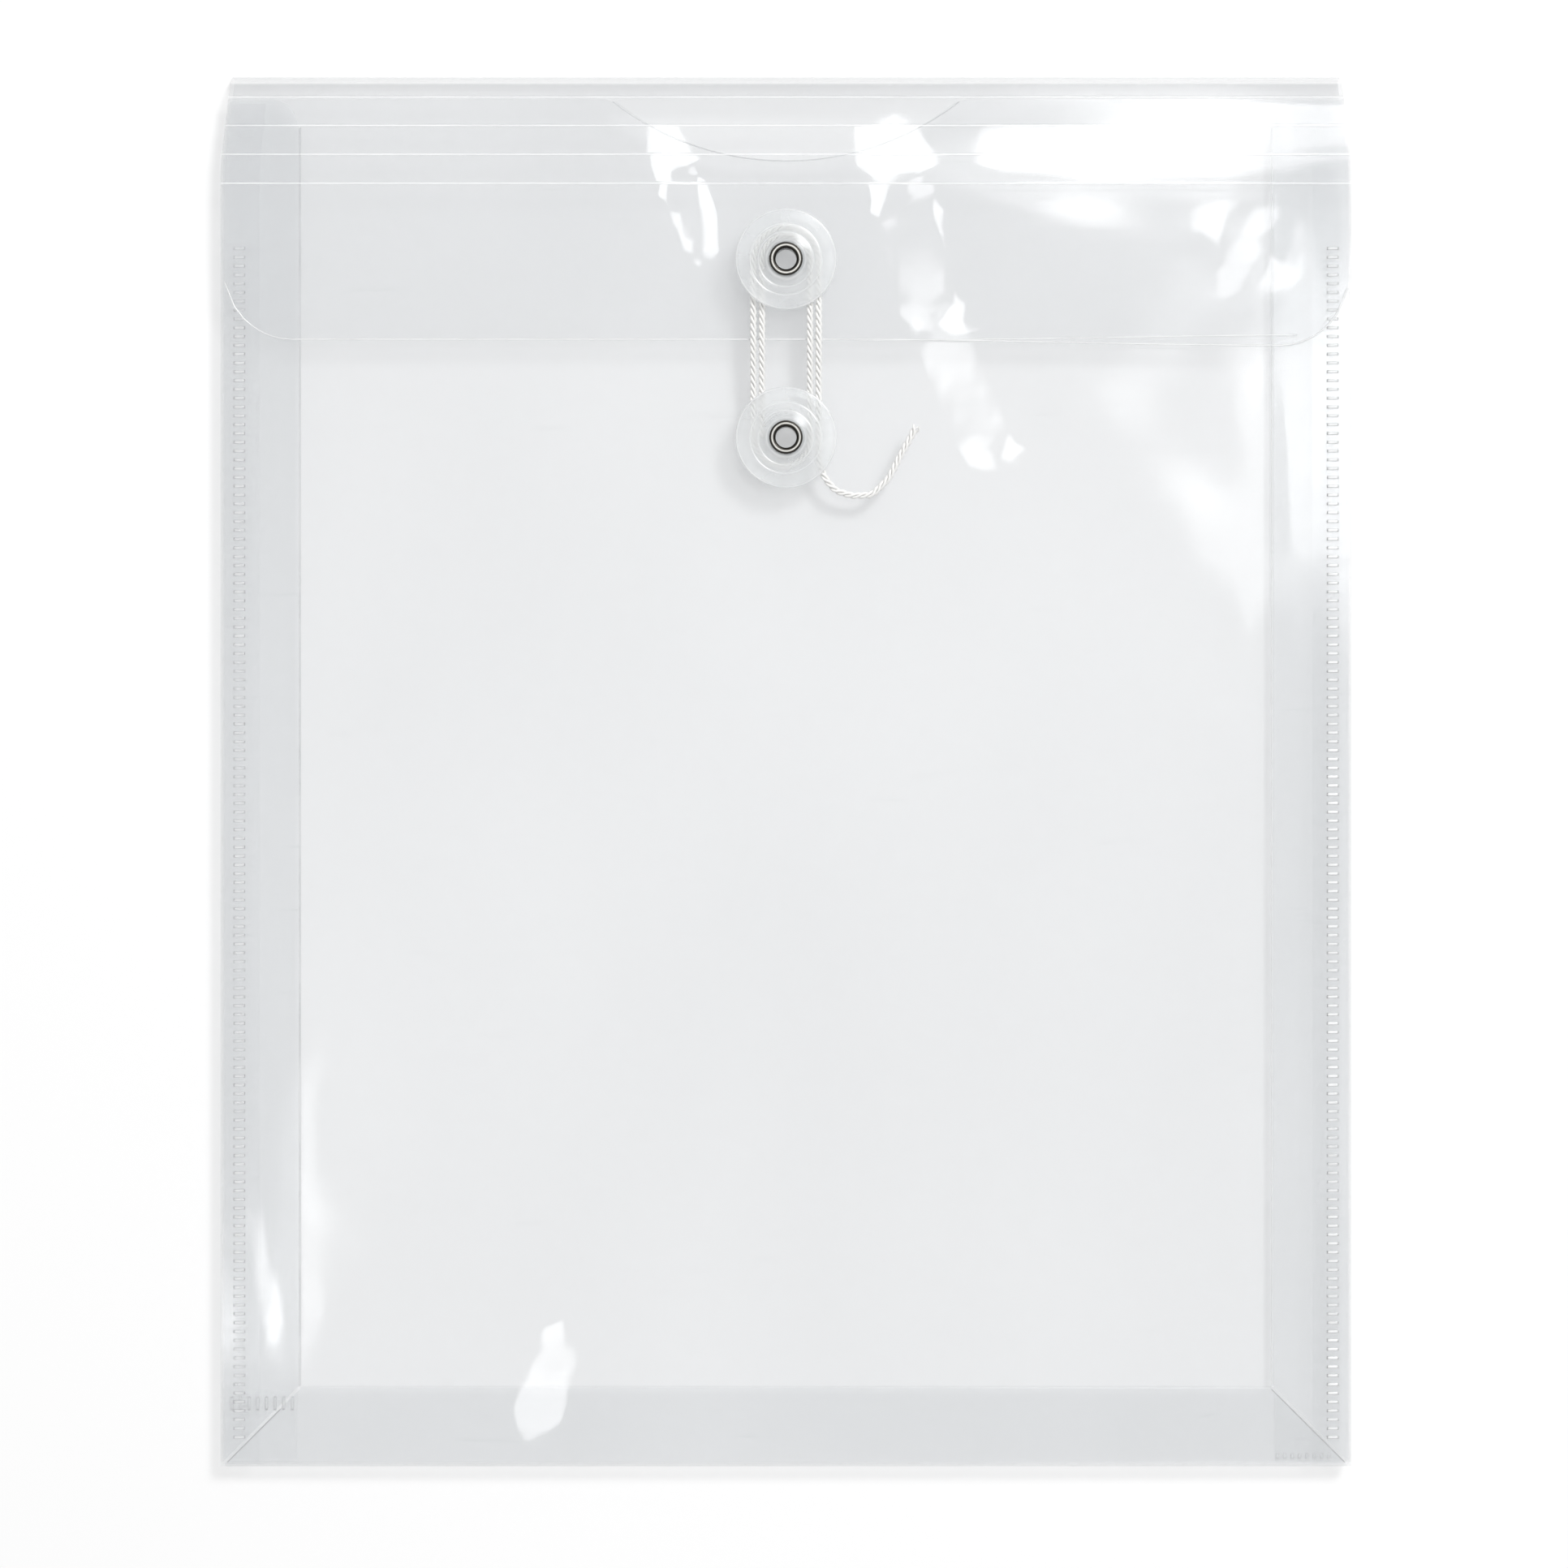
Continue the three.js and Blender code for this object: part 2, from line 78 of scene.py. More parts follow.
# Places read from the frame
front_low, front_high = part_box("front_panel")
back_low, back_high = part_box("back_panel")
flap_low, flap_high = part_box("flap")
HALF_WIDTH = front_high.x
BOTTOM_Y = front_low.y
TOP_Y = cad_box[1].y
MOUTH_Y = front_high.y + 1.0 * MM
FILM = back_high.z - back_low.z
BACK_Z = (back_low.z + back_high.z) / 2
FRONT_Z = (front_low.z + front_high.z) / 2
FLAP_Z = (flap_low.z + flap_high.z) / 2
SIDE_AXIS = joints["right_gusset_rear_fold"]
INNER_AXIS = joints["right_gusset_inner_fold"]
FRONT_AXIS_Z = joints["left_gusset_front_fold"].z
BOTTOM_AXIS = joints["bottom_gusset_rear_fold"]
ROLL = SIDE_AXIS.z - BACK_Z
fold_rise = INNER_AXIS.z - SIDE_AXIS.z
fold_inset = SIDE_AXIS.x - INNER_AXIS.x
GUSSET_WIDTH = math.sqrt(fold_rise**2 + fold_inset**2 - (2 * ROLL) ** 2)
REST_ANGLE = math.atan2(fold_rise, fold_inset) - math.atan2(2 * ROLL, GUSSET_WIDTH)
UPPER = joints["upper_button_spin"]
LOWER = joints["lower_button_spin"]

# Sizes that belong to the looks
MITRE_GAP = 0.4 * MM
NOTCH_RADIUS = 62 * MM
NOTCH_DEPTH = 13.4 * MM
GUSSET_CORNER = 6 * MM
FLAP_CORNER = 15 * MM
HOLE_RADIUS = 3.1 * MM
HOLE_REACH = 6.5 * MM
FRONT_WAVE = 0.2 * MM
BACK_WAVE = 0.3 * MM
GUSSET_WAVE = 0.16 * MM
FLAP_WAVE = 0.12 * MM
STRIP_CROWN = 0.03 * MM

# Grid sizes
CELL = 3.2 * MM
FINE_CELL = 3 * MM
GUSSET_CELL = 3.5 * MM
SPINE_CELL = 4 * MM
CREASE_CELL = 6 * MM
ROLL_CELL = 12 * MM
SHARP_ANGLE = math.radians(40)
MERGE_DISTANCE = 1e-6


# Materials

# How much a face mirrors straight on, and how much rubbed film whitens
STRAIGHT_MIRROR = 0.034
SCRATCHES = 0.01


def new_material(name):
    return Nodes(bpy.data.materials.new(name))


class Nodes:
    """The node tree of a material or a world, with short calls to add and link nodes."""

    def __init__(self, owner):
        self.owner = owner
        owner.use_nodes = True
        self.tree = owner.node_tree
        self.tree.nodes.clear()

    def add(self, kind, inputs=None, **settings):
        node = self.tree.nodes.new(kind)
        for key, value in settings.items():
            setattr(node, key, value)
        for key, value in (inputs or {}).items():
            if isinstance(value, bpy.types.NodeSocket):
                self.tree.links.new(value, node.inputs[key])
            else:
                node.inputs[key].default_value = value
        return node

    def place(self):
        return self.add("ShaderNodeTexCoord").outputs["Object"]

    def noise(self, scale, detail=2.0, stretch=(1, 1, 1), roughness=0.5):
        mapped = self.add(
            "ShaderNodeMapping", {"Vector": self.place(), "Scale": stretch}
        ).outputs[0]
        return self.add(
            "ShaderNodeTexNoise",
            {"Vector": mapped, "Scale": scale, "Detail": detail, "Roughness": roughness},
        ).outputs["Fac"]

    def spread(self, value, low, high, to_low, to_high):
        inputs = {"Value": value, "From Min": low, "From Max": high, "To Min": to_low, "To Max": to_high}
        return self.add("ShaderNodeMapRange", inputs).outputs[0]

    def math(self, operation, a, b):
        return self.add("ShaderNodeMath", {0: a, 1: b}, operation=operation).outputs[0]

    def radius(self, centre):
        """The distance from the upright line through centre."""
        kind = "ShaderNodeVectorMath"
        flat = self.add(kind, {0: self.place(), 1: (1, 1, 0)}, operation="MULTIPLY").outputs[0]
        away = self.add(kind, {0: flat, 1: (centre.x, centre.y, 0)}, operation="DISTANCE")
        return away.outputs["Value"]

    def bump(self, height, distance, strength):
        inputs = {"Height": height, "Distance": distance, "Strength": strength}
        return self.add("ShaderNodeBump", inputs).outputs[0]

    def between(self, factor, low, high):
        """A colour between low and high."""
        mix = self.add("ShaderNodeMix", data_type="RGBA")
        mix.inputs["A"].default_value = (*low, 1)
        mix.inputs["B"].default_value = (*high, 1)
        self.tree.links.new(factor, mix.inputs["Factor"])
        return mix.outputs["Result"]

    def shader(self, kind, **inputs):
        return self.add("ShaderNodeBsdf" + kind, inputs).outputs[0]

    def mix(self, share, first, second):
        return self.add("ShaderNodeMixShader", {"Fac": share, 1: first, 2: second}).outputs[0]

    def mirror(self, straight):
        """How much a clear plastic's face mirrors: a little straight on and all at a grazing angle."""
        facing = self.add("ShaderNodeLayerWeight", {"Blend": 0.5}).outputs["Facing"]
        steep = self.math("POWER", facing, 5.0)
        return self.spread(steep, 0.0, 1.0, straight, 1.0)

    def milk(self, shade, share):
        """Whitish plastic of which a share shows lit from behind."""
        back = self.shader("Diffuse", Color=shade)
        through = self.shader("Translucent", Color=shade)
        return self.mix(share, back, through)

    def glossed(self, amount, clear, milk, rough, straight=STRAIGHT_MIRROR):
        """Clear plastic with an amount of milk in it, under its gloss."""
        hazy = self.mix(amount, self.shader("Transparent", Color=(*clear, 1)), milk)
        gloss = self.shader("Glossy", Color=(1, 1, 1, 1), Roughness=rough)
        return self.finish(self.mix(self.mirror(straight), hazy, gloss))

    def seen_rays(self):
        """1 for the rays by which the background is seen, straight, mirrored or through glass."""
        path = self.add("ShaderNodeLightPath")
        seen = path.outputs["Is Camera Ray"]
        for kind in ("Is Glossy Ray", "Is Transmission Ray"):
            seen = self.math("MAXIMUM", seen, path.outputs[kind])
        return seen

    def finish(self, shader, kind="ShaderNodeOutputMaterial"):
        self.add(kind, {"Surface": shader})
        return self.owner


def film_material(name, haze, low, high, roughness=0.05, straight=STRAIGHT_MIRROR):
    """Clear film: mostly see-through, with a faint milky haze and a clear gloss."""
    nodes = new_material(name)
    cloud = nodes.noise(14, 1.5, (1, 0.6, 1))
    scuff = nodes.noise(45, 2, (1, 9, 1), 0.7)
    clouded = nodes.spread(cloud, 0.3, 0.7, haze * 0.8, haze * 1.2)
    rubbed = nodes.spread(scuff, 0.62, 0.8, 0.0, SCRATCHES)
    amount = nodes.math("ADD", clouded, rubbed)
    rough = nodes.spread(scuff, 0.3, 0.8, roughness, roughness * 1.8)
    milk = nodes.milk(nodes.between(cloud, low, high), 0.5)
    return nodes.glossed(amount, (0.996, 0.9975, 0.9985), milk, rough, straight)


def line_material(name, haze, shade):
    """A line of milky film in one shade: whitened pressed creases and welds, and painted highlights and
    painted shade along edges and folds.
    """
    nodes = new_material(name)
    amount = nodes.spread(nodes.noise(70, 2), 0.35, 0.65, haze * 0.6, haze * 1.2)
    milk = nodes.shader("Diffuse", Color=(*shade, 1))
    return nodes.glossed(amount, (0.99, 0.99, 0.99), milk, 0.15)


# Middle radius and half width in mm, and whiteness, of each ring of painted highlight on the moulded disc
BUTTON_HIGHLIGHT_RINGS = [
    (4.3, 0.5, 0.25),
    (6.0, 0.3, 0.2),
    (7.8, 0.3, 0.2),
    (10.9, 0.3, 0.45),
]


def button_material(name, centre):
    """Clear moulded plastic, with whiter rings of painted highlight round centre."""
    nodes = new_material(name)
    radius = nodes.radius(centre)
    swirl = nodes.noise(120, 2)
    amount = nodes.spread(swirl, 0.3, 0.7, 0.24, 0.32)
    # painted highlights: each ring adds whiter haze round the centre
    for middle, half, strength in BUTTON_HIGHLIGHT_RINGS:
        away = nodes.math("ABSOLUTE", nodes.math("SUBTRACT", radius, middle * MM), 0.0)
        ring = nodes.spread(away, 0.0, half * MM, strength, 0.0)
        amount = nodes.math("ADD", amount, ring)
    shade = nodes.between(swirl, (0.86, 0.87, 0.88), (0.95, 0.955, 0.96))
    rough = nodes.spread(swirl, 0.3, 0.7, 0.12, 0.22)
    return nodes.glossed(amount, (0.985, 0.99, 0.99), nodes.milk(shade, 0.4), rough)


# Radius of the crest of the eyelets' rolled rims
CREST_RADIUS = 3.05 * MM


def nickel_material(name, centre):
    """Plated metal in its own colour on the rim's crest, with painted shade, near black, below the rim and
    in the bore.
    """
    nodes = new_material(name)
    worn = nodes.noise(700, 3)
    away = nodes.math("SUBTRACT", nodes.radius(centre), CREST_RADIUS)
    away = nodes.math("ABSOLUTE", away, 0.0)
    # painted shade: beyond the crest the colour runs to near black, below the rim and in the bore
    painted_shade = nodes.spread(away, 0.04 * MM, 0.26 * MM, 0.0, 1.0)
    inputs = {
        "Base Color": nodes.between(painted_shade, (0.62, 0.61, 0.58), (0.03, 0.028, 0.025)),
        "Metallic": 1.0,
        "Roughness": nodes.spread(worn, 0.3, 0.7, 0.22, 0.4),
        "Normal": nodes.bump(worn, 0.00003, 0.4),
    }
    return nodes.finish(nodes.shader("Principled", **inputs))


def string_material():
    """White spun yarn: fuzzy, with darker fine fibres along it."""
    nodes = new_material("white_string")
    fibres = nodes.noise(4200, 3, (1, 0.3, 1), 0.65)
    inputs = {
        "Base Color": nodes.between(fibres, (0.8, 0.79, 0.77), (0.98, 0.98, 0.97)),
        "Roughness": 0.95,
        "Sheen Weight": 0.25,
        "Normal": nodes.bump(fibres, 0.0001, 0.9),
    }
    return nodes.finish(nodes.shader("Principled", **inputs))


FILM_LOW = (0.70, 0.705, 0.72)
FILM_HIGH = (0.77, 0.775, 0.785)
clear_film = film_material("clear_film", 0.078, FILM_LOW, FILM_HIGH)
# lit and shaded copies of one film: the right gussets and flange are less milky, so they show lighter,
# painted light from the right; the bottom gusset takes the left copy
gusset_films = {
    "left": film_material("gusset_film_left", 0.052, FILM_LOW, FILM_HIGH),
    "right": film_material("gusset_film_right_painted_light", 0.034, FILM_LOW, FILM_HIGH),
}
# strip 1's film: hazier, as the slanting strip is seen through a longer path, and with darker milk,
# painted shade below the pale band
spine_film = film_material("spine_film", 0.17, (0.62, 0.63, 0.645), (0.70, 0.705, 0.72))
# painted light: milk lighter than the clear film's, on the rolled folds' steep faces; the corner tabs take
# it too
fold_film_painted_light = film_material("fold_film_painted_light", 0.038, (0.86, 0.87, 0.88), (0.93, 0.93, 0.94), 0.1, 0.12)
# painted reflection: a pale band where the steep top fold mirrors the bright surroundings
band_painted_reflection = film_material("band_painted_reflection", 0.1, (0.93, 0.94, 0.96), (0.97, 0.975, 0.985), 0.1, 0.35)
# lit and shaded copies of one weld: the right welds are whiter, painted light from the right
weld_films = {
    "left": line_material("weld_film_left", 0.3, (0.96, 0.965, 0.97)),
    "right": line_material("weld_film_right_painted_light", 0.75, (0.96, 0.965, 0.97)),
}
crease_film = line_material("crease_film", 0.5, (0.97, 0.975, 0.98))
# painted shade: a grey line along the rolled folds' edges
painted_fold_shade = line_material("painted_fold_shade", 0.015, (0.45, 0.46, 0.47))
# painted shade: a grey line along the left inner fold and the notch's edge
painted_shade_grey = line_material("painted_shade_grey", 0.16, (0.3, 0.31, 0.32))
# painted shade: a dark line along the mitres
painted_shade_dark = line_material("painted_shade_dark", 0.4, (0.2, 0.2, 0.2))
# white lines: painted highlights along the right inner fold and the flap's edge; the flap's lip and the
# tab welds take it too
line_white = line_material("line_white", 0.55, (0.97, 0.975, 0.98))
button_plastics = {
    "upper": button_material("button_plastic_upper", UPPER),
    "lower": button_material("button_plastic_lower", LOWER),
}
nickels = {
    "upper": nickel_material("nickel_upper", UPPER),
    "lower": nickel_material("nickel_lower", LOWER),
}
string_white = string_material()


# Meshes


def new_piece(name, vertices, faces, material, smooth=True):
    mesh = bpy.data.meshes.new(name)
    mesh.from_pydata([tuple(v) for v in vertices], [], faces)
    mesh.validate()
    built = bmesh.new()
    built.from_mesh(mesh)
    bmesh.ops.remove_doubles(built, verts=built.verts, dist=MERGE_DISTANCE)
    bmesh.ops.recalc_face_normals(built, faces=built.faces)
    built.to_mesh(mesh)
    built.free()
    for face in mesh.polygons:
        face.use_smooth = smooth
    mesh.materials.append(material)
    piece = bpy.data.objects.new(name, mesh)
    bpy.context.scene.collection.objects.link(piece)
    return piece


def thicken(piece, thickness=FILM):
    """Gives a sheet its thickness about its own surface, as real geometry."""
    solid = piece.modifiers.new("thickness", "SOLIDIFY")
    solid.thickness = thickness
    solid.offset = 0
    solid.use_even_offset = False
    apply_modifiers(piece)
    piece.data.set_sharp_from_angle(angle=SHARP_ANGLE)
    return piece


def apply_modifiers(piece):
    view = bpy.context.evaluated_depsgraph_get()
    view.update()
    mesh = bpy.data.meshes.new_from_object(piece.evaluated_get(view))
    piece.modifiers.clear()
    piece.data = mesh


def settle(piece, body, slot, *nodes):
    """Makes a piece ride on a body and hides the nodes it stands for. The slot is not used."""
    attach(piece, body)
    if nodes:
        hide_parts(*nodes)


def between(start, stop, count):
    """Even steps from start to stop, both included."""
    return [start + (stop - start) * index / count for index in range(count + 1)]


def steps_for(length, cell=CELL):
    return max(1, round(length / cell))


def ramp(value, start, stop):
    share = min(max((value - start) / (stop - start), 0.0), 1.0)
    return share * share * (3 - 2 * share)


def grid_faces(strips, rows):
    """The quads of a grid whose vertices are listed column by column, rows + 1 to a column."""
    faces = []
    for i in range(strips):
        for j in range(rows):
            a = i * (rows + 1) + j
            b = a + rows + 1
            faces.append((a, b, b + 1, a + 1))
    return faces


def column_sheet(columns, low, high, rows, lift):
    """Vertices and quads of a sheet whose columns run from low(x) to high(x)."""
    vertices = []
    for x in columns:
        for y in between(low(x), high(x), rows):
            vertices.append(Vector((x, y, lift(x, y))))
    return vertices, grid_faces(len(columns) - 1, rows)


def punch(vertices, faces, centre, radius, reach):
    """Opens a round hole: cells within reach of centre go, and quads run from their edge to the circle."""
    near = {
        index
        for index, v in enumerate(vertices)
        if max(abs(v.x - centre.x), abs(v.y - centre.y)) < reach
    }
    inside = [face for face in faces if all(v in near for v in face)]
    kept = [face for face in faces if not all(v in near for v in face)]
    edges = {}
    for face in inside:
        for a, b in zip(face, face[1:] + face[:1]):
            edges[(a, b)] = edges.get((a, b), 0) + 1
    border = [edge for edge in edges if (edge[1], edge[0]) not in edges]
    ring = {}
    for a, _ in border:
        spoke = Vector((vertices[a].x - centre.x, vertices[a].y - centre.y, 0))
        spoke = spoke.normalized() * radius
        ring[a] = len(vertices)
        vertices.append(Vector((centre.x + spoke.x, centre.y + spoke.y, vertices[a].z)))
    for a, b in border:
        kept.append((a, b, ring[b], ring[a]))
    return kept


# Waves and shallow folds of the film

# Share across, share along, length in mm and phase of each wave
WAVES = [
    (0.9, 0.35, 61.0, 0.4),
    (-0.55, 0.8, 83.0, 2.1),
    (0.25, 1.0, 47.0, 4.4),
    (1.0, -0.62, 38.0, 1.2),
    (0.7, 0.72, 29.0, 5.3),
]


def waves(x, y, seed):
    """A smooth height from -1 to 1, different for each seed."""
    total = 0.0
    for index, (across, along, length, phase) in enumerate(WAVES):
        turn = seed * (1.7 + 0.6 * index)
        place = (x * across + y * along) / MM
        total += math.sin(2 * math.pi * place / length + phase + turn) / (1.2 + 0.35 * index)
    return total / 2.9


def facet(x, y, start, stop, width, tilt):
    """The height of a long shallow fold from start to stop.

    Within width of its middle line the sheet slopes evenly, and it levels out past that. Where tilt is
    positive, it slopes down to the left of the way from start to stop.
    """
    run = Vector(stop) - Vector(start)
    spot = Vector((x, y)) - Vector(start)
    share = spot.dot(run) / run.length_squared
    ends = ramp(share, -0.08, 0.16) * ramp(1 - share, -0.08, 0.16)
    across = (spot.x * -run.y + spot.y * run.x) / run.length / width
    size = abs(across)
    level = size if size < 1 else 0.5 * (1 + math.cos(math.pi * min((size - 1) / 1.6, 1.0)))
    return -math.copysign(level, across) * tilt * width * ends


def panel_calm(x, y, top, margin=11 * MM):
    """0 at a panel's edges and round the lower button, 1 well inside."""
    side = ramp(HALF_WIDTH - abs(x), 9 * MM, 9 * MM + margin)
    ends = ramp(y - BOTTOM_Y, 2 * MM, 22 * MM) * ramp(top - y, 0, 20 * MM)
    away = math.hypot(x - LOWER.x, y - LOWER.y)
    return side * ends * ramp(away, 9 * MM, 26 * MM)


# Shallow folds that catch the light: start, stop and half width in mm, and slope
TOP_FACETS = [
    ((-31, 149), (-22, 126), 5.5, 0.077),
    ((-24, 130), (-16, 110), 5.5, 0.105),
    ((19, 150), (27, 122), 7, 0.05),
    ((25, 127), (33, 96), 7, 0.085),
    ((99.5, 121), (101, 107), 5, 0.045),
]
FRONT_FACETS = [
    ((31, 102), (46, 66), 6.5, 0.085),
    ((113, 126), (115, 48), 3.5, 0.035),
    ((-117, -92), (-111, -127), 2.2, -0.04),
    ((-47, -120), (-57, -149), 6.5, -0.074),
    ((-41.5, -102), (-45, -112), 1.6, -0.083),
    ((61, -84), (86, -136), 2.5, 0.02),
]


def folds(x, y, facets):
    total = 0.0
    for start, stop, width, tilt in facets:
        ends = [(point[0] * MM, point[1] * MM) for point in (start, stop)]
        total += facet(x, y, ends[0], ends[1], width * MM, tilt)
    return total


def front_lift(x, y):
    calm = panel_calm(x, y, MOUTH_Y)
    side = ramp(HALF_WIDTH - abs(x), 4 * MM, 9 * MM) * ramp(y - BOTTOM_Y, 0.5 * MM, 5 * MM)
    return FRONT_Z + calm * FRONT_WAVE * waves(x, y, 0.0) + side * folds(x, y, FRONT_FACETS)


def top_lift(x, y):
    """The rise of the flap and spine by folds that run over both: 0 at the top and round the button."""
    away = math.hypot(x - UPPER.x, y - UPPER.y)
    calm = ramp(away, 10 * MM, 18 * MM) * ramp(TOP_Y - y, 4 * MM, 12 * MM)
    return calm * folds(x, y, TOP_FACETS)


# Shares of the width by which the film is drawn in at the top fold, at its corners and at the flap's end
TOP_DRAW = 0.0145
CORNER_DRAW = 0.003
FLAP_DRAW = 0.007


def taper(y):
    """The share of the width left at y, as the top fold draws all the film in."""
    top = TOP_DRAW * ramp(y, 130 * MM, 151 * MM)
    return 1 - top - CORNER_DRAW * ramp(y, 150.6 * MM, 152.4 * MM)


def draw_in(vertices, flap=False, gusset=False):
    """Narrows a piece towards the top fold, and the flap towards its free end too.

    A gusset's inner fold stays where it is, so that its two halves don't cross when it opens.
    """
    for spot in vertices:
        share = taper(spot.y) - (FLAP_DRAW * ramp(-spot.y, -122 * MM, -100 * MM) if flap else 0)
        if gusset:
            loose = (abs(spot.x) - INNER_AXIS.x) / (SIDE_AXIS.x - INNER_AXIS.x)
            share = 1 - (1 - share) * min(max(loose, 0), 1)
        spot.x *= share


def back_lift(x, y):
    calm = panel_calm(x, y, TOP_Y - 12 * MM, 16 * MM)
    return BACK_Z + calm * BACK_WAVE * (1 + waves(x, y, 3.0))


def make_back():
    columns = between(-SIDE_AXIS.x, SIDE_AXIS.x, steps_for(2 * SIDE_AXIS.x))
    low, high = back_low.y, back_high.y
    vertices, faces = column_sheet(
        columns, lambda x: low, lambda x: high, steps_for(high - low), back_lift
    )
    draw_in(vertices)
    piece = thicken(new_piece("film_back", vertices, faces, clear_film))
    settle(piece, "back", "film", "back_panel")


def notch_edge(x):
    centre = MOUTH_Y - NOTCH_DEPTH + NOTCH_RADIUS
    reach = math.sqrt(NOTCH_RADIUS**2 - (centre - MOUTH_Y) ** 2)
    if abs(x) >= reach:
        return MOUTH_Y
    return centre - math.sqrt(NOTCH_RADIUS**2 - x * x)


def make_front():
    columns = between(-HALF_WIDTH, HALF_WIDTH, steps_for(2 * HALF_WIDTH, FINE_CELL))
    rows = steps_for(MOUTH_Y - BOTTOM_Y)
    vertices, faces = column_sheet(columns, lambda x: BOTTOM_Y, notch_edge, rows, front_lift)
    faces = punch(vertices, faces, LOWER, HOLE_RADIUS, HOLE_REACH)
    draw_in(vertices)
    piece = thicken(new_piece("film_front", vertices, faces, clear_film))
    settle(piece, "front", "film", "front_panel")


def bead(name, points, width, tall, material, body):
    """A fine raised line, half round, that follows points on a sheet."""
    vertices, faces = [], []
    sides = 4
    for index, spot in enumerate(points):
        ahead = points[min(index + 1, len(points) - 1)] - points[max(index - 1, 0)]
        across = Vector((ahead.y, -ahead.x, 0)).normalized()
        for k in range(sides + 1):
            angle = math.pi * k / sides
            offset = across * (-width / 2 * math.cos(angle))
            vertices.append(spot + offset + Vector((0, 0, tall * math.sin(angle))))
    for i in range(len(points) - 1):
        for k in range(sides + 1):
            a = i * (sides + 1) + k
            b = i * (sides + 1) + (k + 1) % (sides + 1)
            faces.append((a, b, b + sides + 1, a + sides + 1))
    last = (len(points) - 1) * (sides + 1)
    faces.append(tuple(reversed(range(sides + 1))))
    faces.append(tuple(last + k for k in range(sides + 1)))
    settle(new_piece(name, vertices, faces, material), body, "film")


def make_lines():
    """The fine lines along the flap's edge and lip, in white, and along the notch, in grey: a painted
    highlight at the flap's edge and painted shade at the notch.
    """
    top = FILM / 2
    inner = HALF_WIDTH - 0.2 * MM
    edge_columns = between(-inner, inner, 120)
    points = [
        Vector((x, flap_low_edge(x) + 0.2 * MM, flap_lift(x, flap_low_edge(x) + 0.2 * MM) + top))
        for x in edge_columns
    ]
    draw_in(points, True)
    # painted highlight along the flap's edge
    bead("line_flap_edge", points, 0.32 * MM, 0.11 * MM, line_white, "flap")
    points = []
    for x in between(LIP_START, HALF_WIDTH - FLAP_CORNER * 0.8, 60):
        y = flap_low.y + 1.2 * MM * ramp(x, LIP_START, HALF_WIDTH)
        points.append(Vector((x, y, flap_lift(x, y) + top)))
    bead("line_flap_lip", points, 0.28 * MM, 0.1 * MM, line_white, "flap")
    reach = 38 * MM
    points = []
    for x in between(-reach, reach, 60):
        y = notch_edge(x) - 0.2 * MM
        points.append(Vector((x, y, front_lift(x, y) + top)))
    # painted shade along the notch's edge
    bead("line_notch", points, 0.25 * MM, 0.09 * MM, painted_shade_grey, "front")


# Gussets and their rolled folds


def half_place(side, front):
    """Maps width along a side gusset's half, y and height above its fold axis to the row's frame."""
    angle = -REST_ANGLE if front else REST_ANGLE
    axis_z = FRONT_AXIS_Z if front else SIDE_AXIS.z
    flip = -1 if front else 1

    def place(u, y, offset):
        across = u * math.cos(angle) - flip * offset * math.sin(angle)
        up = u * math.sin(angle) + flip * offset * math.cos(angle)
        return Vector((side * (SIDE_AXIS.x - across), y, axis_z + up))

    return place


def gusset_calm(u, y, low):
    return ramp(u, 0, 5 * MM) * ramp(GUSSET_WIDTH - u, 0, 5 * MM) * ramp(y - low, 0, 12 * MM)


def make_side_gusset(side, word, front):
    place = half_place(side, front)
    low_y = BOTTOM_AXIS.y + MITRE_GAP
    corner_u = GUSSET_WIDTH - GUSSET_CORNER
    top = MOUTH_Y

    def high(u):
        if u <= corner_u:
            return top
        over = min(u - corner_u, GUSSET_CORNER)
        return top - GUSSET_CORNER + math.sqrt(max(GUSSET_CORNER**2 - over * over, 0.0))

    columns = between(0, corner_u, 5) + between(corner_u, GUSSET_WIDTH, 6)[1:]
    rows = steps_for(top - low_y, GUSSET_CELL)
    seed = 5.0 + 2.0 * side + (1.0 if front else 0.0)
    vertices = []
    for u in columns:
        for y in between(low_y + u, high(u), rows):
            sway = GUSSET_WAVE * waves(u * 2, y, seed) * gusset_calm(u, y, low_y + u)
            vertices.append(place(u, y, ROLL + sway))
    faces = grid_faces(len(columns) - 1, rows)
    draw_in(vertices, gusset=True)
    half = "front" if front else "rear"
    node = f"{word}_gusset_{half}"
    piece = thicken(new_piece("film_" + node, vertices, faces, gusset_films[word]))
    settle(piece, f"{word}_{half}", "film", node)


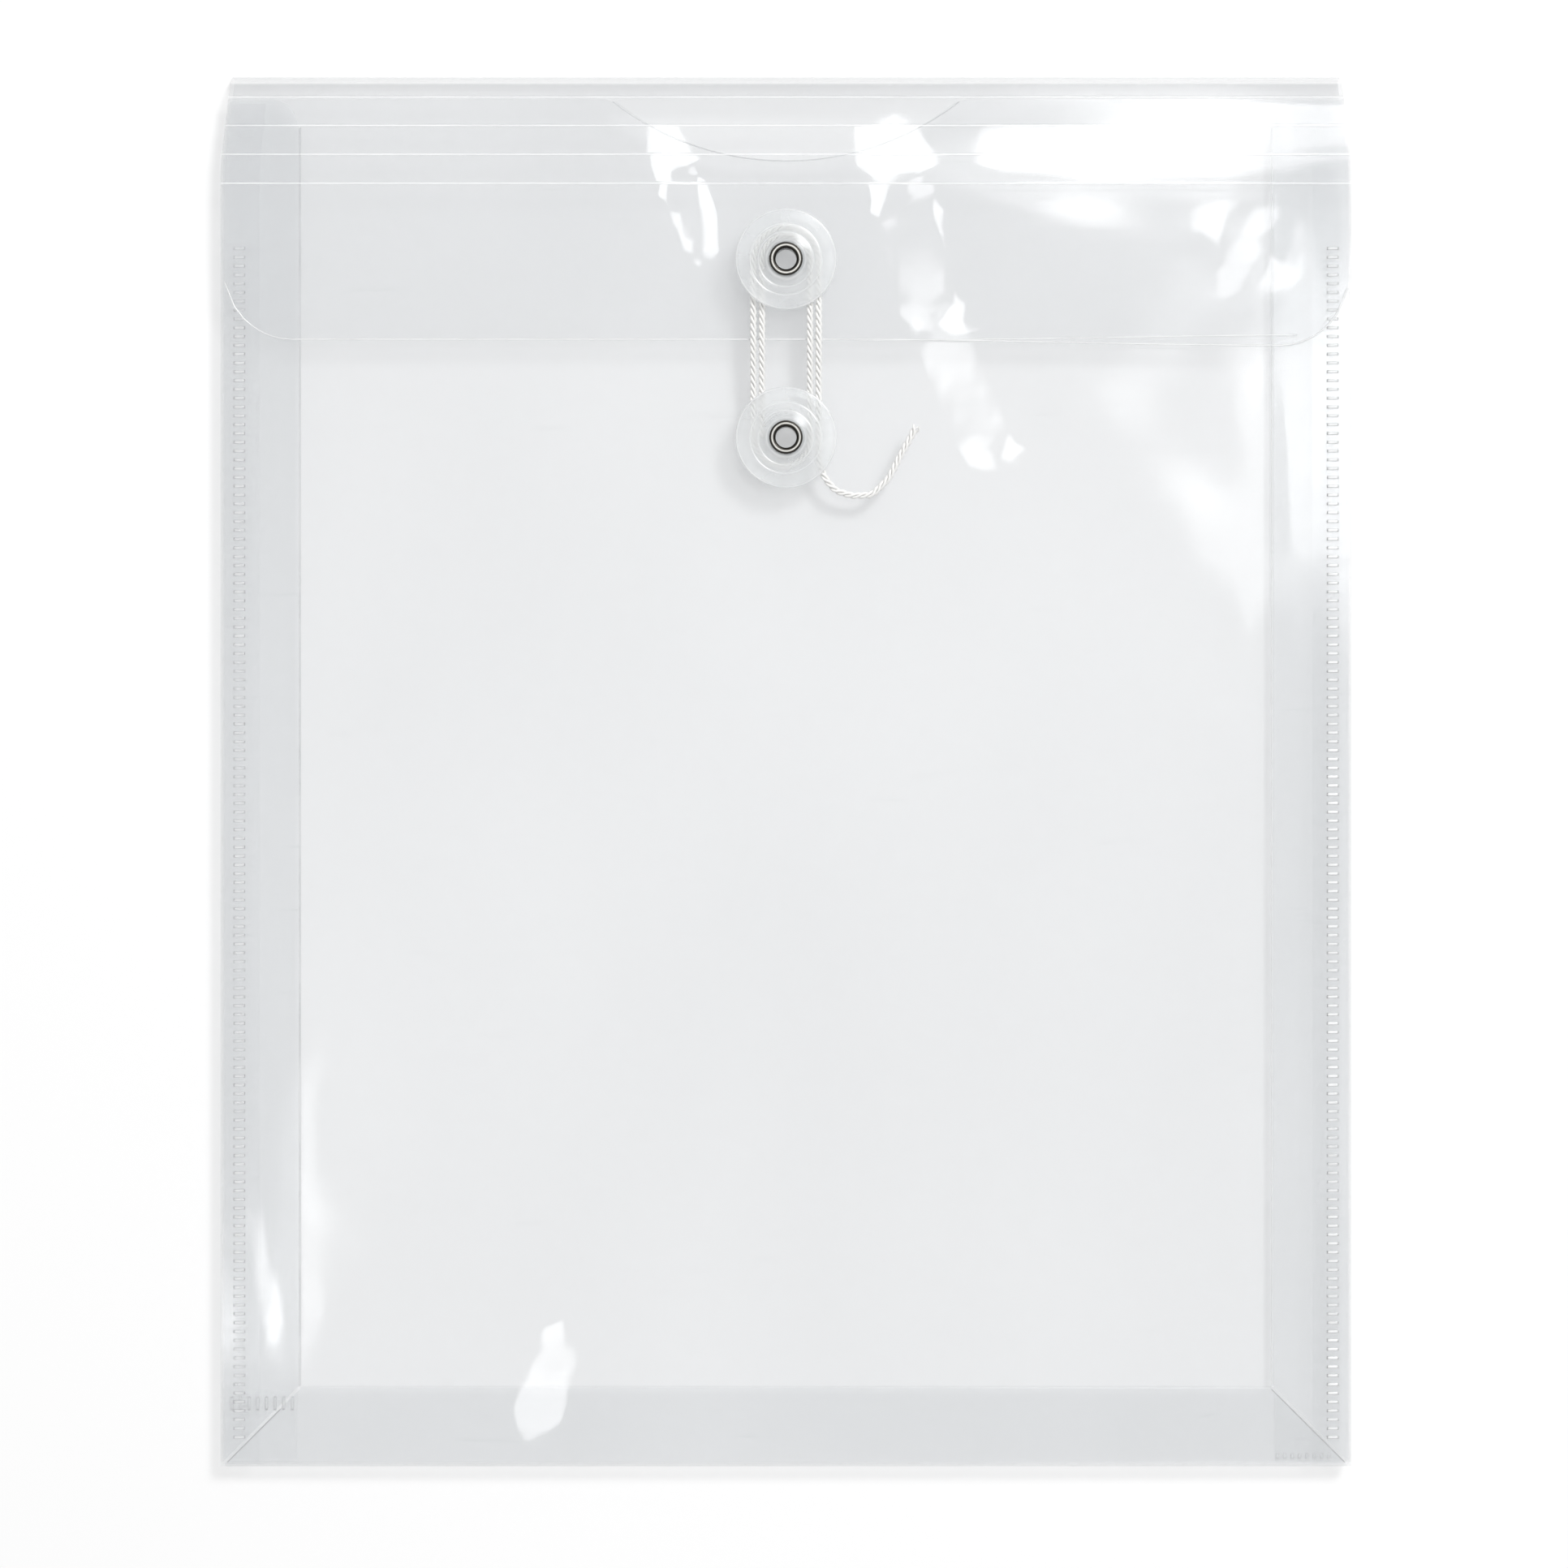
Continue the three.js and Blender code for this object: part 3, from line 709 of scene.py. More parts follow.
def make_bottom_gusset(front):
    angle = -REST_ANGLE if front else REST_ANGLE
    flip = -1 if front else 1
    axis_z = FRONT_AXIS_Z if front else BOTTOM_AXIS.z
    vertices, faces = [], []
    rows = 7
    count = steps_for(2 * SIDE_AXIS.x, GUSSET_CELL)
    for v in between(0, GUSSET_WIDTH, rows):
        reach = SIDE_AXIS.x - MITRE_GAP - v
        for x in between(-reach, reach, count):
            calm = ramp(v, 0, 5 * MM) * ramp(GUSSET_WIDTH - v, 0, 5 * MM)
            offset = ROLL + GUSSET_WAVE * waves(x, v * 2, 9.0 + flip) * calm
            y = BOTTOM_AXIS.y + v * math.cos(angle) - flip * offset * math.sin(angle)
            z = axis_z + v * math.sin(angle) + flip * offset * math.cos(angle)
            vertices.append(Vector((x, y, z)))
    for j in range(rows):
        for i in range(count):
            a = j * (count + 1) + i
            b = a + count + 1
            faces.append((a, a + 1, b + 1, b))
    if front:
        for side, word, reach in ((-1, "left", 0.72), (1, "right", 1.0)):
            points = []
            for v in between(0.3 * MM, GUSSET_WIDTH * reach, 12):
                x = SIDE_AXIS.x - MITRE_GAP - v - 0.15 * MM
                y = BOTTOM_AXIS.y + v * math.cos(angle) + ROLL * math.sin(angle)
                z = axis_z + v * math.sin(angle) - ROLL * math.cos(angle) + FILM / 2
                points.append(Vector((side * x, y, z)))
            # painted shade along each mitre
            bead(f"line_mitre_{word}", points, 0.22 * MM, 0.08 * MM, painted_shade_dark, "bottom_front")
    half = "front" if front else "rear"
    node = "bottom_gusset_" + half
    piece = thicken(new_piece("film_" + node, vertices, faces, gusset_films["left"]))
    settle(piece, "bottom_" + half, "film", node)


# Within this angle of level, the faces of a roll are seen edge on from above, and take a painted shade
# line
TIP_ANGLE = math.radians(55)
QUARTER = math.pi / 2
# A split fold's upper half is a little wider, so that its lower half turns inside it
UPPER_HALF_ROLL = 1.04 * ROLL


def arc_strip(name, centre, along, start, stop, radius, ends, rows, segments=8, tip=None, inner=False):
    """A rolled strip about an axis through centre, from one angle to another.

    The faces that point outwards are seen edge on from above, and take tip's material, by default painted
    shade along the roll's edge.
    """
    vertices, tips = [], []
    outwards, length_axis = along
    low, high = ends
    for step in range(segments + 1):
        angle = start + (stop - start) * step / segments
        up = Vector((0, 0, radius * math.sin(angle)))
        for y in between(low, high, rows):
            spot = centre + outwards * (radius * math.cos(angle)) + up
            vertices.append(spot + length_axis * y)
    for i in range(segments):
        middle = start + (stop - start) * (i + 0.5) / segments
        tips += [1 if abs(middle) < TIP_ANGLE else 0] * rows
    draw_in(vertices, gusset=inner)
    # the roll takes the lightened film, painted light, and its outward faces painted shade
    piece = new_piece(name, vertices, grid_faces(segments, rows), fold_film_painted_light)
    piece.data.materials.append(tip or painted_fold_shade)
    for face, place in zip(piece.data.polygons, tips):
        face.material_index = place
    return thicken(piece)


def bent_roll(name, centre, along, angles, ends, rows, bodies, **looks):
    """A whole fold, built in place. The bodies are not used."""
    roll = arc_strip(name, centre, along, *angles, ROLL, ends, rows, **looks)
    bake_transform(roll)


def split_roll(name, centre, along, ends, rows, below, above):
    """A fold that the tree of joints leaves open: each half rides on its own body."""
    low = REST_ANGLE - QUARTER
    lower = arc_strip(name + "_lower", centre, along, low, 0, ROLL, ends, rows, 4)
    settle(lower, below, "film")
    upper = arc_strip(name + "_upper", centre, along, 0, QUARTER, UPPER_HALF_ROLL, ends, rows, 4)
    settle(upper, above, "film")


def make_side_rolls(side, word):
    along = (Vector((side, 0, 0)), Vector((0, 1, 0)))
    rows = steps_for(MOUTH_Y - BOTTOM_Y, ROLL_CELL)
    ends = (BOTTOM_AXIS.y + MITRE_GAP, MOUTH_Y)
    rear_centre = Vector((side * SIDE_AXIS.x, 0, SIDE_AXIS.z))
    front_centre = Vector((side * SIDE_AXIS.x, 0, FRONT_AXIS_Z))
    inner_centre = Vector((side * INNER_AXIS.x, 0, INNER_AXIS.z))
    rear, front = f"{word}_rear", f"{word}_front"
    bent_roll(
        f"roll_{word}_rear", rear_centre, along, (-QUARTER, QUARTER - REST_ANGLE),
        ends, rows, ("back", rear),
    )
    inner_ends = (BOTTOM_AXIS.y + MITRE_GAP + GUSSET_WIDTH, MOUTH_Y - GUSSET_CORNER)
    bent_roll(
        f"roll_{word}_inner", inner_centre, (-along[0], along[1]),
        (REST_ANGLE - QUARTER, QUARTER - REST_ANGLE), inner_ends, rows, (rear, front),
        # painted shade on the left inner fold's edge and a painted highlight on the right one's, as the
        # light comes from the right
        tip=painted_shade_grey if side < 0 else line_white, inner=True,
    )
    if side < 0:
        bent_roll(
            f"roll_{word}_front", front_centre, along, (REST_ANGLE - QUARTER, QUARTER),
            ends, rows, (front, "front"),
        )
    else:
        split_roll(f"roll_{word}_front", front_centre, along, ends, rows, front, "front")


def make_bottom_rolls():
    along = (Vector((0, -1, 0)), Vector((1, 0, 0)))
    reach = SIDE_AXIS.x - MITRE_GAP
    ends = (-reach, reach)
    rows = steps_for(2 * reach, ROLL_CELL)
    rear_centre = Vector((0, BOTTOM_AXIS.y, BOTTOM_AXIS.z))
    front_centre = Vector((0, BOTTOM_AXIS.y, FRONT_AXIS_Z))
    bent_roll(
        "roll_bottom_rear", rear_centre, along, (-QUARTER, QUARTER - REST_ANGLE),
        ends, rows, ("back", "bottom_rear"),
    )
    inner_reach = reach - GUSSET_WIDTH
    bent_roll(
        "roll_bottom_inner", joints["bottom_gusset_inner_fold"], (-along[0], along[1]),
        (REST_ANGLE - QUARTER, QUARTER - REST_ANGLE), (-inner_reach, inner_reach), rows,
        ("bottom_rear", "bottom_front"),
    )
    split_roll("roll_bottom_front", front_centre, along, ends, rows, "bottom_front", "front")


# Welds


def pillow(vertices, faces, centre, half, height, segments=3):
    """A raised bar with a rounded top, lying on the surface at centre."""
    base = len(vertices)
    count = 2 * segments + 1
    for i in range(count):
        across = -1 + 2 * i / (count - 1)
        for j in range(count):
            along = -1 + 2 * j / (count - 1)
            dome = math.sqrt(max(1 - across**4, 0) * max(1 - along**4, 0))
            vertices.append(centre + Vector((across * half[0], along * half[1], height * dome)))
    for i in range(count - 1):
        for j in range(count - 1):
            a = base + i * count + j
            faces.append((a, a + count, a + count + 1, a + 1))
    rim = [base + j for j in range(count)]
    rim += [base + i * count + count - 1 for i in range(1, count)]
    rim += [base + (count - 1) * count + j for j in range(count - 2, -1, -1)]
    rim += [base + i * count for i in range(count - 2, 0, -1)]
    faces.append(tuple(rim))


SEAM_PITCH = 1.93 * MM
SEAM_BAR = (1.3 * MM, 0.34 * MM)


def make_seam(word):
    low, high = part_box(f"{word}_weld_seam")
    centre_x = (low.x + high.x) / 2
    vertices, faces = [], []
    count = int((high.y - low.y) / SEAM_PITCH)
    for index in range(count):
        y = low.y + (index + 0.67) * SEAM_PITCH
        pillow(vertices, faces, Vector((centre_x, y, low.z)), SEAM_BAR, 0.2 * MM)
    draw_in(vertices)
    piece = new_piece(f"weld_bars_{word}", vertices, faces, weld_films[word])
    settle(piece, "front", "weld", f"{word}_weld_seam")


def make_flange(word):
    low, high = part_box(f"{word}_weld_flange")
    middle = (low.z + high.z) / 2
    vertices, faces = column_sheet(
        between(low.x, high.x, 3), lambda x: low.y, lambda x: high.y, 60, lambda x, y: middle
    )
    draw_in(vertices)
    film = gusset_films[word]
    piece = thicken(new_piece(f"film_flange_{word}", vertices, faces, film), high.z - low.z)
    settle(piece, "front", "film", f"{word}_weld_flange")


TAB_BARS = 8
TAB_CHAMFER = 3 * MM


def make_tab(word):
    low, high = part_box(f"{word}_corner_tab")
    z = low.z + FILM / 2
    left = word == "left"

    def top(x):
        if left:
            return high.y - max(TAB_CHAMFER - (x - low.x), 0.0)
        return low.y + (high.x - x) * (high.y - low.y) / (high.x - low.x)

    if left:
        shoulder = low.x + TAB_CHAMFER
        columns = between(low.x, shoulder, 3) + between(shoulder, high.x, 6)[1:]
    else:
        columns = between(low.x, high.x - MITRE_GAP, 8)
    vertices, faces = column_sheet(columns, lambda x: low.y, top, 6, lambda x, y: z)
    # the tab sheet takes the rolls' lightened film
    sheet = thicken(new_piece(f"film_tab_{word}", vertices, faces, fold_film_painted_light))
    settle(sheet, "back", "film", f"{word}_corner_tab")
    bars, bar_faces = [], []
    for index in range(TAB_BARS):
        if left:
            place = (low.x + (1.5 + 1.9 * index) * MM, high.y - 2.8 * MM, z + FILM / 2)
            half = (0.35 * MM, 1.5 * MM)
        else:
            place = (low.x + (0.6 + 1.62 * index) * MM, low.y + 1.2 * MM, z + FILM / 2)
            half = (0.35 * MM, 0.6 * MM)
        pillow(bars, bar_faces, Vector(place), half, 0.14 * MM)
    settle(new_piece(f"weld_tab_{word}", bars, bar_faces, line_white), "back", "weld")


# Spine and flap

SPINE_JOINTS = ["flap_open", "crease_1", "crease_2", "crease_3", "crease_4"]
CREASE_HALF = 0.3 * MM
FOLD_HALF = 0.45 * MM
STRIPS = len(SPINE_JOINTS) - 1
STRIP_ROWS = 6
# The rows of the first strip next to the top fold, which turn over with it and take the pale painted
# reflection
BAND_ROWS = 2
spine_axes = [joints[name] for name in SPINE_JOINTS]
spine_axes[0] = Vector((0, spine_axes[0].y, BACK_Z))


def spine_direction(index):
    step = spine_axes[index + 1] - spine_axes[index]
    return Vector((0, step.y, step.z)).normalized()


def crown(share, tall):
    return tall * 4 * share * (1 - share)


def make_spine():
    columns = between(-HALF_WIDTH, HALF_WIDTH, steps_for(2 * HALF_WIDTH, SPINE_CELL))
    for index in range(STRIPS):
        start = FOLD_HALF if index == 0 else CREASE_HALF
        direction = spine_direction(index)
        normal = Vector((0, direction.z, -direction.y))
        length = (spine_axes[index + 1] - spine_axes[index]).length - start - CREASE_HALF
        vertices = []
        for x in columns:
            for share in between(0, 1, STRIP_ROWS):
                bulge = crown(share, STRIP_CROWN) * (1 + 0.8 * waves(x, index * 20 * MM, 12.0))
                along = start + share * length
                spot = spine_axes[index] + direction * along
                bulge += top_lift(x, spot.y)
                vertices.append(Vector((x * taper(spot.y), 0, 0)) + spot + normal * bulge)
        faces = grid_faces(len(columns) - 1, STRIP_ROWS)
        piece = new_piece(f"film_spine_{index + 1}", vertices, faces, clear_film)
        if index == 0:
            # strip 1 takes the darker spine film, painted shade, and its top rows the pale painted
            # reflection
            piece.data.materials[0] = spine_film
            piece.data.materials.append(band_painted_reflection)
            for number, face in enumerate(piece.data.polygons):
                face.material_index = 1 if number % STRIP_ROWS < BAND_ROWS else 0
        thicken(piece)
        settle(piece, f"spine_{index + 1}", "film", f"spine_strip_{index + 1}")


def make_creases():
    """The pressed lines between strips: each a narrow rolled band, built in place."""
    directions = [Vector((0, 1, 0))]
    directions += [spine_direction(index) for index in range(STRIPS)] + [Vector((0, -1, 0))]
    columns = between(-HALF_WIDTH, HALF_WIDTH, steps_for(2 * HALF_WIDTH, CREASE_CELL))
    for index, axis in enumerate(spine_axes):
        half = FOLD_HALF if index == 0 else CREASE_HALF
        before, after = directions[index], directions[index + 1]
        first = axis - before * half
        last = axis + after * half
        rows = 8 if index == 0 else 5
        vertices = []
        for x in columns:
            for t in between(0, 1, rows):
                spot = first * (1 - t) ** 2 + axis * 2 * t * (1 - t) + last * t * t
                vertices.append(Vector((x * taper(spot.y), 0, top_lift(x, spot.y))) + spot)
        faces = grid_faces(len(columns) - 1, rows)
        name = "roll_top" if index == 0 else f"crease_line_{index}"
        # the top fold takes the pale painted reflection
        piece = new_piece(name, vertices, faces, band_painted_reflection if index == 0 else clear_film)
        if index:
            piece.data.materials.append(crease_film)
            for number, face in enumerate(piece.data.polygons):
                face.material_index = 1 if number % rows in (2, 3) else 0
        thicken(piece)
        if index == 0:
            first = axis - Vector((0, 0, 0.1 * MM))
            last = axis + Vector((0, 0, half * math.sin(math.radians(52))))
        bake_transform(piece)


LIP_START = 15 * MM
LIP_DROP = 1.3 * MM


def flap_low_edge(x):
    inner = HALF_WIDTH - FLAP_CORNER
    over = abs(x) - inner
    low = flap_low.y - LIP_DROP * ramp(x, LIP_START, HALF_WIDTH - FLAP_CORNER)
    if over <= 0:
        return low
    return low + FLAP_CORNER - math.sqrt(max(FLAP_CORNER**2 - over * over, 0.0))


def flap_lift(x, y):
    high = spine_axes[4].y - CREASE_HALF
    down = (high - y) / (high - flap_low.y)
    away = math.hypot(x - UPPER.x, y - UPPER.y)
    calm = ramp(away, 9 * MM, 26 * MM) * ramp(high - y, 0, 12 * MM)
    raised = 0.45 * MM * ramp(x, 55 * MM, HALF_WIDTH) * down * down
    raised += 0.35 * MM * ramp(-x, 70 * MM, HALF_WIDTH) * down * down
    sway = calm * (FLAP_WAVE * (waves(x, y, 6.0) + 0.4) + raised)
    return FLAP_Z + sway + top_lift(x, y)


def make_flap():
    high = spine_axes[4].y - CREASE_HALF
    inner = HALF_WIDTH - FLAP_CORNER
    corner = [inner + FLAP_CORNER * math.sin(math.radians(10 * k)) for k in range(10)]
    middle = between(-inner, inner, steps_for(2 * inner, FINE_CELL))
    columns = [-x for x in reversed(corner[1:])] + middle + corner[1:]
    vertices, faces = column_sheet(columns, flap_low_edge, lambda x: high, 12, flap_lift)
    faces = punch(vertices, faces, UPPER, HOLE_RADIUS, HOLE_REACH)
    draw_in(vertices, True)
    piece = thicken(new_piece("film_flap", vertices, faces, clear_film))
    settle(piece, "flap", "film", "flap")


# Buttons

TURN_STEPS = 96


def turned(name, profile, centre, material):
    """A round piece about Z from a closed profile of (radius, z)."""
    vertices, faces = [], []
    count = len(profile)
    for k in range(TURN_STEPS):
        angle = 2 * math.pi * k / TURN_STEPS
        for radius, z in profile:
            vertices.append(
                Vector((centre.x + radius * math.cos(angle), centre.y + radius * math.sin(angle), z))
            )
    for k in range(TURN_STEPS):
        n = (k + 1) % TURN_STEPS
        for j in range(count):
            m = (j + 1) % count
            faces.append((k * count + j, n * count + j, n * count + m, k * count + m))
    return new_piece(name, vertices, faces, material)


def rounded(points, radius, steps=4):
    """The closed outline with each corner cut by a small arc."""
    outline = []
    count = len(points)
    for index in range(count):
        before, here, after = (Vector(points[(index + k) % count]) for k in (-1, 0, 1))
        back, ahead = before - here, after - here
        reach = min(radius, back.length / 2.2, ahead.length / 2.2)
        first = here + back.normalized() * reach
        last = here + ahead.normalized() * reach
        for k in range(steps + 1):
            t = k / steps
            outline.append(first * (1 - t) ** 2 + here * 2 * t * (1 - t) + last * t * t)
    return [(spot.x, spot.y) for spot in outline]


# Radius and depth in mm of the disc's moulded grooves
DISC_GROOVES = [(6.0, 0.05), (7.8, 0.05)]
GROOVE_HALF = 0.28 * MM
DISC_EDGE = 0.35 * MM
SPACER_WAIST = 0.35 * MM
SPACER_LIP = 0.5 * MM
BARREL_RADIUS = 2.8 * MM
EYELET_BORE = 2.3 * MM
EYELET_RIM = 0.4 * MM
BORE_BEVEL = 0.3 * MM


def half_width(low, high):
    return (high.x - low.x) / 2


def disc_profile(low, high):
    flat = half_width(low, high) - DISC_EDGE
    bore = HOLE_RADIUS
    middle = (low.z + high.z) / 2
    half = (high.z - low.z) / 2
    points = [(bore, low.z + 0.1 * MM), (bore + 0.1 * MM, low.z), (flat, low.z)]
    for k in range(1, 8):
        angle = -math.pi / 2 + math.pi * k / 8
        points.append((flat + DISC_EDGE * math.cos(angle), middle + half * math.sin(angle)))
    points.append((flat, high.z))
    for radius, depth in reversed(DISC_GROOVES):
        for k in range(9):
            share = 1 - k / 8
            dip = depth * MM * math.sin(math.pi * share) ** 2
            points.append((radius * MM + (share * 2 - 1) * GROOVE_HALF, high.z - dip))
    return points + [(bore + 0.5 * MM, high.z), (bore + 0.12 * MM, high.z - 0.1 * MM)]


def spacer_profile(low, high):
    outer = half_width(low, high)
    waist = outer - SPACER_WAIST
    profile = [(HOLE_RADIUS, low.z), (outer, low.z)]
    profile += [(waist, low.z + SPACER_LIP), (waist, high.z - SPACER_LIP)]
    profile += [(outer, high.z), (HOLE_RADIUS, high.z)]
    return rounded(profile, 0.2 * MM)


def washer_profile(low, high):
    outer = half_width(low, high)
    profile = [(HOLE_RADIUS, low.z), (outer, low.z), (outer, high.z), (HOLE_RADIUS, high.z)]
    return rounded(profile, 0.15 * MM)


def eyelet_profile(low, high):
    flange = half_width(low, high)
    bottom, top = low.z + EYELET_RIM, high.z - EYELET_RIM
    profile = [(EYELET_BORE, low.z), (flange, low.z), (flange, bottom), (BARREL_RADIUS, bottom)]
    profile += [(BARREL_RADIUS, top), (flange, top), (flange, high.z)]
    profile += [(EYELET_BORE + BORE_BEVEL, high.z), (EYELET_BORE, high.z - BORE_BEVEL)]
    return rounded(profile, 0.19 * MM)


def make_button(word, centre, panel_body, button_body):
    plastic = button_plastics[word]
    parts = [
        ("disc", "button_disc", disc_profile, plastic, button_body, "button"),
        ("spacer", "button_hub", spacer_profile, plastic, button_body, "button"),
        ("backing_washer", "washer", washer_profile, plastic, panel_body, "button"),
        ("eyelet", "eyelet_ring", eyelet_profile, nickels[word], panel_body, "eyelet"),
    ]
    for part, name, profile, material, body, slot in parts:
        node = f"{word}_{part}"
        piece = turned(f"{word}_{name}", profile(*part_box(node)), centre, material)
        settle(piece, body, slot, node)


# String

STRING_RADIUS = 0.7 * MM
INNER_WRAP = 5.25 * MM
OUTER_WRAP = 7.15 * MM
UPPER_STRING_Z = flap_high.z + 1.05 * MM
LOWER_STRING_Z = front_high.z + 1.05 * MM
TAIL_Z = front_high.z + 0.75 * MM
DESCENT_TOP = flap_low.y - 0.8 * MM
DESCENT_BOTTOM = DESCENT_TOP - 9.5 * MM
# The tail's way in mm from the lower button's centre
TAIL_POINTS = [
    (7.15, -3.4),
    (7.4, -6.3),
    (8.8, -9.3),
    (10.9, -11.6),
    (14.5, -12.7),
    (18.9, -12.5),
    (22.5, -8.9),
    (25.2, -3.6),
    (28.7, 2.6),
]


def run_points(x, upwards):
    heights = [
        (LOWER.y, LOWER_STRING_Z),
        (LOWER.y + 2 * STRING_RADIUS, LOWER_STRING_Z),
        (DESCENT_BOTTOM, LOWER_STRING_Z),
        (DESCENT_TOP, UPPER_STRING_Z),
        (UPPER.y - 2 * STRING_RADIUS, UPPER_STRING_Z),
    ]
    run = [Vector((x, y, z)) for y, z in heights]
    return run if upwards else run[::-1]


def loop_points(centre, z, start, stop, start_radius, stop_radius, steps=18):
    points = []
    for k in range(steps + 1):
        share = k / steps
        angle = start + (stop - start) * share
        radius = start_radius + (stop_radius - start_radius) * share
        points.append(
            Vector((centre.x + radius * math.cos(angle), centre.y + radius * math.sin(angle), z))
        )
    return points


def string_route():
    def over(radius):
        return loop_points(UPPER, UPPER_STRING_Z, math.pi, 0, radius, radius)

    under = loop_points(LOWER, LOWER_STRING_Z, 0, -math.pi, INNER_WRAP, OUTER_WRAP)
    route = run_points(-INNER_WRAP, True) + over(INNER_WRAP)
    route += run_points(INNER_WRAP, False)[:-1] + under
    route += run_points(-OUTER_WRAP, True)[1:] + over(OUTER_WRAP)
    route += run_points(OUTER_WRAP, False)
    route += [Vector((x * MM, LOWER.y + y * MM, TAIL_Z)) for x, y in TAIL_POINTS]
    return route


EASINGS = 8


def smooth_line(points, step):
    """Even points along the route, with its corners eased."""
    line = [points[0]]
    for a, b in zip(points, points[1:]):
        pieces = max(1, math.ceil((b - a).length / step))
        line += [a.lerp(b, (k + 1) / pieces) for k in range(pieces)]
    for _ in range(EASINGS):
        eased = [line[0]]
        for before, here, after in zip(line, line[1:], line[2:]):
            eased.append(here * 0.5 + (before + after) * 0.25)
        line = eased + [line[-1]]
    return line


PLY_OFFSET = 0.42 * MM
PLY_RADIUS = 0.33 * MM
TWIST_LENGTH = 4.9 * MM
PLY_SIDES = 8
PLIES = 3
STRING_STEP = 0.35 * MM


def make_string():
    line = smooth_line(string_route(), STRING_STEP)
    travelled = [0.0]
    for a, b in zip(line, line[1:]):
        travelled.append(travelled[-1] + (b - a).length)
    vertices, faces = [], []
    for ply in range(PLIES):
        base = len(vertices)
        for index, spot in enumerate(line):
            before = line[max(index - 1, 0)]
            after = line[min(index + 1, len(line) - 1)]
            ahead = (after - before).normalized()
            across = Vector((0, 0, 1)).cross(ahead).normalized()
            over = ahead.cross(across)
            turn = -2 * math.pi * (travelled[index] / TWIST_LENGTH + ply / PLIES)
            to_end = travelled[-1] - travelled[index]
            loose = 1 + 0.9 * ramp(-to_end, -2.2 * MM, 0)
            centre = spot + (across * math.cos(turn) + over * math.sin(turn)) * PLY_OFFSET * loose
            thin = 1 - 0.45 * ramp(-to_end, -1.5 * MM, 0)
            for k in range(PLY_SIDES):
                angle = 2 * math.pi * k / PLY_SIDES
                ring = across * math.cos(angle) + over * math.sin(angle)
                vertices.append(centre + ring * PLY_RADIUS * thin)
        for i in range(len(line) - 1):
            for k in range(PLY_SIDES):
                a = base + i * PLY_SIDES + k
                b = base + i * PLY_SIDES + (k + 1) % PLY_SIDES
                faces.append((a, b, b + PLY_SIDES, a + PLY_SIDES))
        last = base + (len(line) - 1) * PLY_SIDES
        faces.append(tuple(base + k for k in reversed(range(PLY_SIDES))))
        faces.append(tuple(last + k for k in range(PLY_SIDES)))
    piece = new_piece("string", vertices, faces, string_white)
    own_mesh(piece)
    settle(piece, "front", "string", "string_winding", "string_tail")
    tuple(line[0])
    [tuple(spot) for spot in line]


# Stage

FLOOR_SHADE = 0.66
FLOOR_GLOW = 0.295
FLOOR_REACH = 3.0
FLOOR_LEVEL = -0.2 * MM
AMBIENT = 0.68
# Name, place, width, height and watts of each lamp
SOFTBOXES = [
    ("key_light", (0.93, 1.2, 2.25), 0.68, 0.68, 45.0),
    ("window_light", (0.195, 0.54, 1.6), 0.19, 0.52, 1.2),
    ("side_light", (0.35, 0.2, 1.65), 0.16, 0.3, 0.4),
    ("low_light", (-0.36, -0.24, 1.65), 0.15, 0.2, 0.3),
]
SENSOR = 36
CAMERA_HEIGHT = 1.6
FRAME_WIDTH = 343.7 * MM
FRAME_CENTRE = (-0.44 * MM, -2.94 * MM)


def floor_material():
    """White paper, with a glow that only seen, mirrored and passed rays meet, which makes it white."""
    nodes = new_material("floor_white")
    paper = nodes.shader("Diffuse", Color=(FLOOR_SHADE, FLOOR_SHADE, FLOOR_SHADE, 1))
    kind = "ShaderNodeEmission"
    glow = nodes.add(kind, {"Color": (1, 1, 1, 1), "Strength": FLOOR_GLOW}).outputs[0]
    dark = nodes.add(kind, {"Color": (0, 0, 0, 1), "Strength": 0}).outputs[0]
    extra = nodes.mix(nodes.seen_rays(), dark, glow)
    return nodes.finish(nodes.add("ShaderNodeAddShader", {0: paper, 1: extra}).outputs[0])


